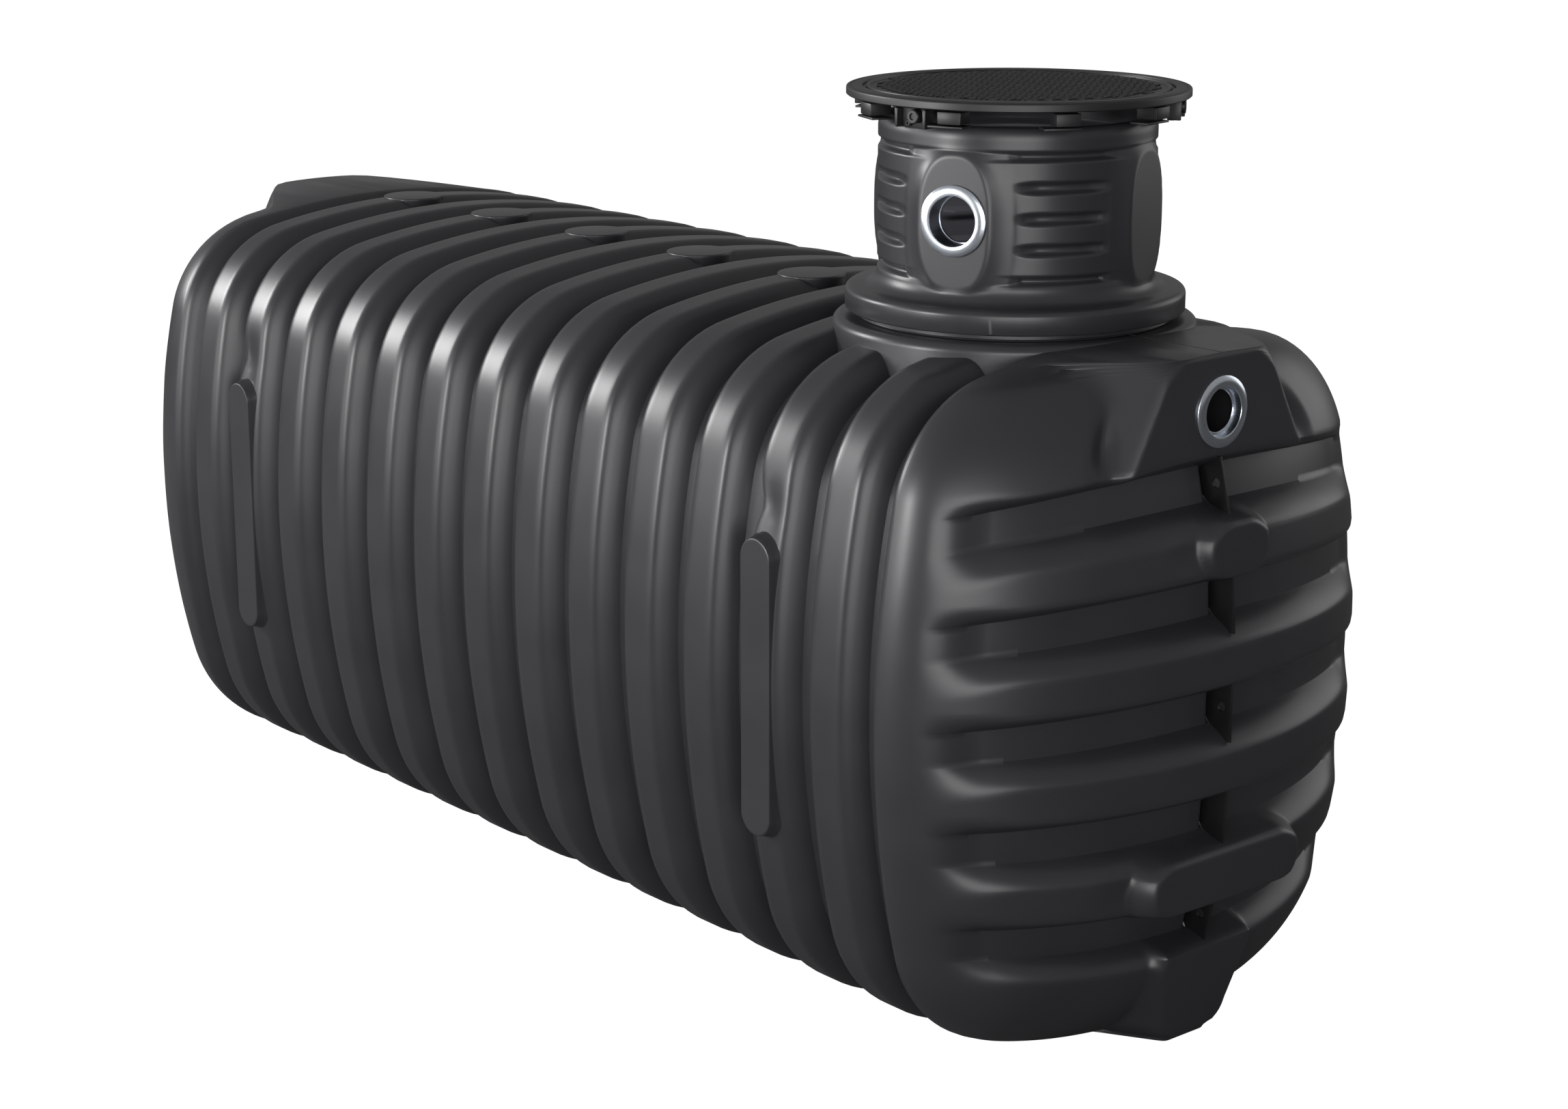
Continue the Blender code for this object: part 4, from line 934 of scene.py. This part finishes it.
# %% Collar
COLLAR_RADIUS = 0.430
COLLAR_INNER = 0.416
COLLAR_FOOT = 1.500
COLLAR_ROUND = 0.022
COLLAR_LANDING = TANK_TOP + 0.003
COLLAR_ROOT = 0.004
COLLAR_ROOT_FLAT = 0.75
COLLAR_ROOT_HEIGHT = TANK_TOP + 0.001
LANDING_THICKNESS = 0.014
COLLAR_SHOULDER = TANK_TOP - 0.040
neck_axis = Matrix.Translation((SHAFT_X, 0.0, 0.0))
collar_profile = [(COLLAR_INNER, COLLAR_FOOT), (COLLAR_RADIUS, COLLAR_FOOT)]
collar_profile += fillet((COLLAR_RADIUS - COLLAR_ROUND, TANK_TOP - COLLAR_ROUND), COLLAR_ROUND, 0.0, 90.0, 8)
collar_profile += fillet((SPIGOT_RADIUS, COLLAR_ROOT_HEIGHT), COLLAR_ROOT, 270.0, 180.0, 3, COLLAR_ROOT_FLAT)
collar_profile += [(NECK_BORE, COLLAR_LANDING), (NECK_BORE, COLLAR_LANDING - LANDING_THICKNESS),
                   (COLLAR_INNER, COLLAR_SHOULDER), (COLLAR_INNER, COLLAR_FOOT)]
collar = turned_piece("neck_collar_skin", collar_profile, 160, neck_axis)
finish_piece(collar, hull_finish, 45.0, ["neck_collar"])

# %% [markdown]
# ## Pipe seals
# A turned ring stands on each wall, with a sleeve behind it that ends in an inner lip.

# %% Both seals
SEAL_MOUTH = 0.0575
SEAL_OUTER = 0.082
SEAL_CREST = 0.0715
SEAL_FACE = 0.0083
SEAL_EDGE = 0.0030
SEAL_ROUND = 0.002
SEAL_GAP = 0.0003
THROAT_START = 0.0062
SLEEVE_RADIUS = 0.066
LIP_RISE = 0.004
LIP_ROOT = 0.006
THROAT_END = 0.011
INLET_REAR = 0.0480
INLET_DEPTH = 0.016
SHAFT_REAR = 0.0530
SHAFT_DEPTH = 0.045


def add_seal(name, rear_radius, depth, place):
    """A flanged ring with a sleeve and a rear lip, replacing the seal's node."""
    profile = [(SEAL_MOUTH, THROAT_START)]
    profile += fillet((SEAL_MOUTH + SEAL_ROUND, SEAL_FACE - SEAL_ROUND), SEAL_ROUND, 180.0, 90.0, 3)
    profile += [(SEAL_CREST, SEAL_FACE)]
    profile += fillet((SEAL_OUTER - SEAL_ROUND, SEAL_EDGE), SEAL_ROUND, 60.0, 0.0, 4)
    profile += [(SEAL_OUTER, SEAL_GAP), (SLEEVE_RADIUS, SEAL_GAP)]
    profile += [(SLEEVE_RADIUS, -depth), (rear_radius, -depth)]
    profile += fillet((rear_radius + SEAL_ROUND, LIP_RISE - depth), SEAL_ROUND, 180.0, 90.0, 3)
    profile += [(SEAL_MOUTH - SEAL_ROUND, LIP_ROOT - depth), (SEAL_MOUTH, THROAT_END - depth), profile[0]]
    ring = turned_piece(name + "_ring", profile, 96, place)
    finish_piece(ring, ring_finish, 30.0, [name])


outwards = Matrix.Rotation(QUARTER, 4, "Y")
inlet_place = Matrix.Translation((PANEL_FACE_NEAR, 0.0, INLET_HEIGHT)) @ outwards
shaft_place = Matrix.Translation(seal_spot) @ pad_turn.to_matrix().to_4x4()
add_seal("inlet_pipe_seal", INLET_REAR, INLET_DEPTH, inlet_place)
add_seal("shaft_pipe_seal", SHAFT_REAR, SHAFT_DEPTH, shaft_place)

# %% Dark cup behind the inlet seal, painted shade inside the hole
SOCKET_OUTER = 0.0655
SOCKET_INNER = 0.056
SOCKET_START = -0.0165
SOCKET_FLOOR = -0.118
SOCKET_END = -0.125
SOCKET_ROUND = 0.002
# The cup wears the cover's darker finish as painted shade: the real hole opens into the tank's shaded inside.
socket_profile = [(SOCKET_OUTER, SOCKET_START), (SOCKET_OUTER, SOCKET_END), (0.0, SOCKET_END),
                  (0.0, SOCKET_FLOOR), (SOCKET_INNER - SOCKET_ROUND, SOCKET_FLOOR),
                  (SOCKET_INNER, SOCKET_FLOOR + SOCKET_ROUND), (SOCKET_INNER, SOCKET_START),
                  (SOCKET_OUTER, SOCKET_START)]
painted_shade_socket = turned_piece("inlet_painted_shade_socket", socket_profile, 72, inlet_place)
finish_piece(painted_shade_socket, cover_and_hole_shade_finish, 30.0, [])

# %% [markdown]
# ## The cover and its frame
# The cover is injection-moulded. Its top has a raised rim, a ring groove and short bars laid like a
# basket's weave, so that a wet shoe doesn't slip. Nine lugs and three screw brackets hang from its rim.

# %% Cover
# COVER_STEPS holds the radius and the drop below the top of each corner, from the plate outwards, and
# COVER_FOOT how far in from the rim and how high over the seat the corners of its underside lie.
COVER_RADIUS = 0.400
COVER_SEAT = 2.145
COVER_TOP = 2.170
PLATE_DROP = 0.0045
PLATE_TOP = COVER_TOP - PLATE_DROP
COVER_STEPS = ((0.0, PLATE_DROP), (0.343, PLATE_DROP), (0.3445, 0.0005), (0.3525, 0.0005), (0.354, 0.0065),
               (0.361, 0.0065), (0.363, 0.0005), (0.3655, 0.0), (0.384, 0.0005), (0.386, 0.003),
               (0.3905, 0.003), (0.392, 0.0008))
COVER_ROUND = 0.005
COVER_ROUND_DROP = 0.006
COVER_FOOT = ((0.0, 0.006), (0.003, 0.0035), (0.010, 0.0030), (COVER_RADIUS, 0.001))
cover_profile = [(radius, COVER_TOP - drop) for radius, drop in COVER_STEPS]
cover_profile += fillet((COVER_RADIUS - COVER_ROUND, COVER_TOP - COVER_ROUND_DROP), COVER_ROUND, 80.0, 0.0, 4)
cover_profile += [(COVER_RADIUS - inset, COVER_SEAT + rise) for inset, rise in COVER_FOOT]
cover = turned_piece("cover_plate", cover_profile, 180, neck_axis)

# %% Woven bars
BAR_SIZE = (0.0235, 0.0058, 0.0042)
BAR_INSET = 0.0010
BAR_CROWN = 0.0008
BAR_RISE = 0.0008
CELL = 0.0270
CELLS_EACH_WAY = 12
WEAVE_RADIUS = 0.325
WEAVE_TURN = math.radians(20.0)


def add_bar():
    """One raised bar with a rounded top."""
    bpy.ops.mesh.primitive_cube_add(size=1.0)
    bar = bpy.context.object
    bar.data.transform(Matrix.Diagonal(BAR_SIZE + (1.0,)))
    with editing():
        bpy.ops.mesh.select_mode(type="FACE")
        bpy.ops.mesh.select_all(action="DESELECT")
    for face in bar.data.polygons:
        face.select = face.normal.z > 0.5
    bpy.ops.object.mode_set(mode="EDIT")
    bpy.ops.mesh.inset(thickness=BAR_INSET, depth=0.0)
    bpy.ops.transform.translate(value=(0.0, 0.0, BAR_CROWN))
    bpy.ops.object.mode_set(mode="OBJECT")
    return bar


bar = add_bar()
bars = []
weave = neck_axis @ Matrix.Translation((0.0, 0.0, PLATE_TOP + BAR_RISE)) @ Matrix.Rotation(WEAVE_TURN, 4, "Z")
for row, column in product(range(-CELLS_EACH_WAY, CELLS_EACH_WAY + 1), repeat=2):
    middle = Vector((row * CELL, column * CELL, 0.0))
    if middle.length > WEAVE_RADIUS:
        continue
    turn = Matrix.Rotation((row + column) % 2 * QUARTER, 4, "Z")
    for side in (-0.25, 0.25):
        shift = Matrix.Translation((0.0, side * CELL, 0.0))
        bars.append(moved_copy(bar, weave @ Matrix.Translation(middle) @ turn @ shift))
bpy.data.objects.remove(bar)
join_onto(cover, bars)
finish_piece(cover, cover_and_hole_shade_finish, 30.0, ["access_cover"])

# %% Frame with lugs
# A block has an inner and outer radius, a low and high height, a top and foot width, and a bevel.
LUG_COUNT = 9
FIRST_LUG = -68.0
FRAME_RADIUS = 0.339
FRAME_TOP = COVER_SEAT - 0.001
FRAME_FOOT = SHAFT_TOP + 0.0005
FRAME_ROUND = 0.004
FRAME_STEP = 0.006
STEP_TOP = COVER_SEAT - 0.015
FRAME_CHAMFER = 0.002
LUG_INNER = 0.335
LUG_REACH = 0.388
LUG = (LUG_INNER, LUG_REACH, COVER_SEAT - 0.029, FRAME_TOP, 0.058, 0.056, 0.0025)
LUG_FOOT = (LUG_INNER, LUG_REACH - 0.004, SHAFT_TOP + 0.001, SHAFT_TOP + 0.006, 0.086, 0.086, 0.001)
LUG_FOOT_TURN = 0.03


def rim_block(name, angle, sizes):
    """A block under the cover's rim that narrows towards its foot."""
    inner, outer, low, high, width, low_width, bevel = sizes

    def corner(front, side, top):
        half = 0.5 * (width if top else low_width)
        return outer if front else inner, side * half, high if top else low

    piece = cube_piece(name, corner, bevel)
    piece.data.transform(neck_axis @ Matrix.Rotation(angle, 4, "Z"))
    return piece


frame_profile = [(NECK_BORE, FRAME_TOP), (FRAME_RADIUS - FRAME_ROUND, FRAME_TOP),
                 (FRAME_RADIUS, FRAME_TOP - FRAME_CHAMFER), (FRAME_RADIUS, STEP_TOP),
                 (FRAME_RADIUS + FRAME_STEP, STEP_TOP - FRAME_CHAMFER),
                 (FRAME_RADIUS + FRAME_STEP, SHAFT_TOP + FRAME_ROUND),
                 (FRAME_RADIUS + FRAME_CHAMFER, FRAME_FOOT), (NECK_BORE, FRAME_FOOT), (NECK_BORE, FRAME_TOP)]
rim = turned_piece("cover_frame_ring", frame_profile, 144, neck_axis)
blocks = []
for order in range(LUG_COUNT):
    angle = math.radians(FIRST_LUG + 360.0 / LUG_COUNT * order)
    blocks.append(rim_block("lug", angle, LUG))
    blocks.append(rim_block("lug_foot", angle - LUG_FOOT_TURN, LUG_FOOT))
join_onto(rim, blocks)
finish_piece(rim, cover_and_hole_shade_finish, 30.0, ["cover_frame"])

# %% Screw brackets
# A boss has a turn from the bracket's middle, a drop below the seat, a radius and a reach.
BRACKET_COUNT = 3
FIRST_BRACKET = -84.0
BRACKET_INNER = 0.352
BRACKET = (BRACKET_INNER, 0.366, COVER_SEAT - 0.046, FRAME_TOP, 0.094, 0.060, 0.0025)
EAR = (BRACKET_INNER, 0.384, COVER_SEAT - 0.044, FRAME_TOP, 0.010, 0.007, 0.002)
EAR_TURN = 0.108
SCREW = (0.030, 0.017, 0.016, 0.377)
PIN = (-0.034, 0.034, 0.0075, 0.371)
BOSS_INNER = 0.355
BOSS_LENGTH = 0.012
BOSS_ROUND = 0.002
SLOT_DEPTH = 0.004
SLOT_SHARES = (0.45, 0.5)


def add_boss(angle, drop, radius, reach):
    """The round end of a screw or pin, with a hollow in its head."""
    rise = reach - BOSS_INNER
    profile = [(0.0, rise - SLOT_DEPTH), (radius * SLOT_SHARES[0], rise - SLOT_DEPTH),
               (radius * SLOT_SHARES[1], rise), (radius - BOSS_ROUND, rise), (radius, rise - BOSS_ROUND),
               (radius, 0.0), (0.0, 0.0)]
    spot = Matrix.Translation((reach - BOSS_LENGTH, 0.0, COVER_SEAT - drop))
    place = neck_axis @ Matrix.Rotation(angle, 4, "Z") @ spot @ outwards
    return turned_piece("boss", profile, 32, place)


for order in range(BRACKET_COUNT):
    angle = math.radians(FIRST_BRACKET + 360.0 / BRACKET_COUNT * order)
    bracket = rim_block(f"screw_bracket_skin_{order + 1}", angle, BRACKET)
    parts = [rim_block("ear", angle + turn, EAR) for turn in (-EAR_TURN, EAR_TURN)]
    parts += [add_boss(angle + turn, *sizes) for turn, *sizes in (SCREW, PIN)]
    join_onto(bracket, parts)
    finish_piece(bracket, cover_and_hole_shade_finish, 30.0, [f"screw_bracket_{order + 1}"])

# %% [markdown]
# ## Flat discs and upright pads on the barrel
# The discs along the top and the four upright pads are flat places of the moulding, level with the
# ribs' crests, with drafted sides.

# %% Top discs
# DISC_STEPS holds the radius and the drop below the disc's face of each corner of its drafted side.
DISC_RIBS = (1, 3, 5, 7, 9)
DISC_FACE = TANK_TOP + 0.0022
DISC_RADIUS = 0.088
DISC_ROUND = 0.004
DISC_STEPS = ((0.087, 0.010), (0.085, 0.022), (0.081, 0.036), (0.073, 0.048), (0.058, 0.058), (0.0, 0.064))
disc_profile = [(0.0, DISC_FACE)]
disc_profile += fillet((DISC_RADIUS - DISC_ROUND, DISC_FACE - DISC_ROUND), DISC_ROUND, 90.0, 0.0, 5)
disc_profile += [(radius, DISC_FACE - drop) for radius, drop in DISC_STEPS]
for order, number in enumerate(DISC_RIBS, start=1):
    place = Matrix.Translation((rib_place(number), 0.0, 0.0))
    disc = turned_piece(f"top_disc_skin_{order}", disc_profile, 72, place)
    finish_piece(disc, hull_finish, 45.0, [f"top_disc_{order}"])

# %% Upright side pads
# PAD_STEPS holds how far each extrusion goes inwards and how much it grows along the tank.
SIDE_PAD_FACE = HALF_WIDTH + 0.004
SIDE_PAD_MIDDLE = 0.843
SIDE_PAD_RADIUS = 0.0490
SIDE_PAD_STRAIGHT = 0.3005
SIDE_PAD_OFFSET = -0.008
SIDE_PAD_SQUEEZE = 0.955
PAD_STEPS = ((0.0, 1.050), (0.0010, 1.035), (0.0025, 1.020), (0.0100, 1.030), (0.020, 1.120), (0.020, 1.140))
UPRIGHT_GROWTH = 0.17


def add_side_pad(name, x, side):
    """A long pad: a circle whose halves are drawn apart, then extruded and scaled."""
    bpy.ops.mesh.primitive_circle_add(vertices=64, radius=SIDE_PAD_RADIUS, fill_type="NGON",
                                      rotation=(QUARTER, 0.0, 0.0))
    bpy.ops.object.transform_apply()
    pad = named_piece(name)
    for vertex in pad.data.vertices:
        vertex.co.z += math.copysign(SIDE_PAD_STRAIGHT, vertex.co.z)
    with editing():
        for depth, grow in PAD_STEPS:
            upright = 1.0 + (grow - 1.0) * UPRIGHT_GROWTH
            extrude_scaled((0.0, depth, 0.0), (grow, 1.0, upright), (0.0, 0.0, 0.0))
    pad.data.transform(Matrix.Diagonal((SIDE_PAD_SQUEEZE, 1.0, 1.0, 1.0)))
    place = Matrix.Translation((x, side * SIDE_PAD_FACE, SIDE_PAD_MIDDLE))
    pad.data.transform(place @ Matrix.Rotation(math.pi if side > 0.0 else 0.0, 4, "Z"))
    close_up(pad)
    return pad


for end_name, number in zip(("far", "near"), PINCHED_RIBS):
    for side_name, side in (("left", -1.0), ("right", 1.0)):
        place_name = f"{end_name}_{side_name}"
        pad = add_side_pad(f"side_pad_skin_{place_name}", rib_place(number) + SIDE_PAD_OFFSET, side)
        finish_piece(pad, hull_finish, 35.0, [f"side_pad_{place_name}"])

# %% [markdown]
# ## Floor and light
# The photograph is a studio shot on white: a wide soft lamp on the left gives each crest its long
# highlight, and the top of the tank stays dark.

# %% Floor
FLOOR_SIZE = 160.0
FLOOR_HEIGHT = -0.002
FLOOR_GLOW = 0.98

bpy.ops.mesh.primitive_plane_add(size=FLOOR_SIZE, location=(0.0, 0.0, FLOOR_HEIGHT))
floor = bpy.context.object
floor.name = "studio_floor"
floor_finish, floor_shader = new_finish("plain_pale_floor", 0.9, 0.0, 0.1)
floor_shader.inputs["Base Color"].default_value = linear("#6A6A6A")
floor_path = add_node(floor_finish, "ShaderNodeLightPath")
glow = add_node(floor_finish, "ShaderNodeMapRange", (), {"To Min": 0.0, "To Max": FLOOR_GLOW},
                {"Value": floor_path.outputs["Is Camera Ray"]})
floor_shader.inputs["Emission Color"].default_value = linear("#FFFFFF")
floor_finish.node_tree.links.new(glow.outputs["Result"], floor_shader.inputs["Emission Strength"])
floor.data.materials.append(floor_finish)


# %% Lamps
def add_softbox(name, spot, aim, size, power):
    """A soft lamp that looks at a point."""
    data = bpy.data.lights.new(name, "AREA")
    data.shape = "RECTANGLE"
    data.size, data.size_y = size
    data.energy = power
    lamp = bpy.data.objects.new(name, data)
    lamp.location = spot
    lamp.rotation_euler = (Vector(aim) - Vector(spot)).to_track_quat("-Z", "Y").to_euler()
    scene.collection.objects.link(lamp)
    return lamp


# Each lamp has a spot, a point that it looks at, a size and a power in watts.
LAMPS = (("key_softbox", (-7.4, -4.6, 4.3), (0.0, 0.0, 1.2), (2.4, 2.6), 470.0),
         ("left_softbox", (-3.2, -6.8, 2.3), (0.0, 0.0, 0.9), (4.4, 3.0), 150.0),
         ("corner_softbox", (-0.1, -6.4, 2.2), (1.7, -0.7, 1.2), (0.7, 1.3), 170.0),
         ("low_softbox", (8.0, -6.6, 2.0), (1.5, -0.2, 1.0), (7.0, 4.4), 470.0),
         ("front_softbox", (3.0, 7.4, 3.0), (1.9, 0.1, 0.9), (5.0, 4.0), 70.0),
         ("shaft_inner_lamp", (SHAFT_X, 0.0, 2.08), (SHAFT_X, 0.0, 1.7), (0.2, 0.2), 4.0))
lamps = [add_softbox(*lamp) for lamp in LAMPS]
inner_lamp = lamps[-1]
inner_lamp.visible_camera = False
inner_lamp.visible_glossy = False
print("lamps:", [lamp.name for lamp in lamps])

# %% [markdown]
# The camera sees a white world, as the photograph's backdrop is. For all other rays it is a dim grey,
# which fills the shadows without washing out the hull.

# %% World
WORLD_FILL = 0.27

world = bpy.data.worlds.new("pale_studio")
world.use_nodes = True
world_path = add_node(world, "ShaderNodeLightPath")
seen = add_node(world, "ShaderNodeMapRange", (), {"To Min": WORLD_FILL, "To Max": 1.0},
                {"Value": world_path.outputs["Is Camera Ray"]})
background = world.node_tree.nodes["Background"]
background.inputs["Color"].default_value = linear("#FFFFFF")
world.node_tree.links.new(seen.outputs["Result"], background.inputs["Strength"])
scene.world = world
scene.view_settings.view_transform = "Standard"
print("world fill:", WORLD_FILL)
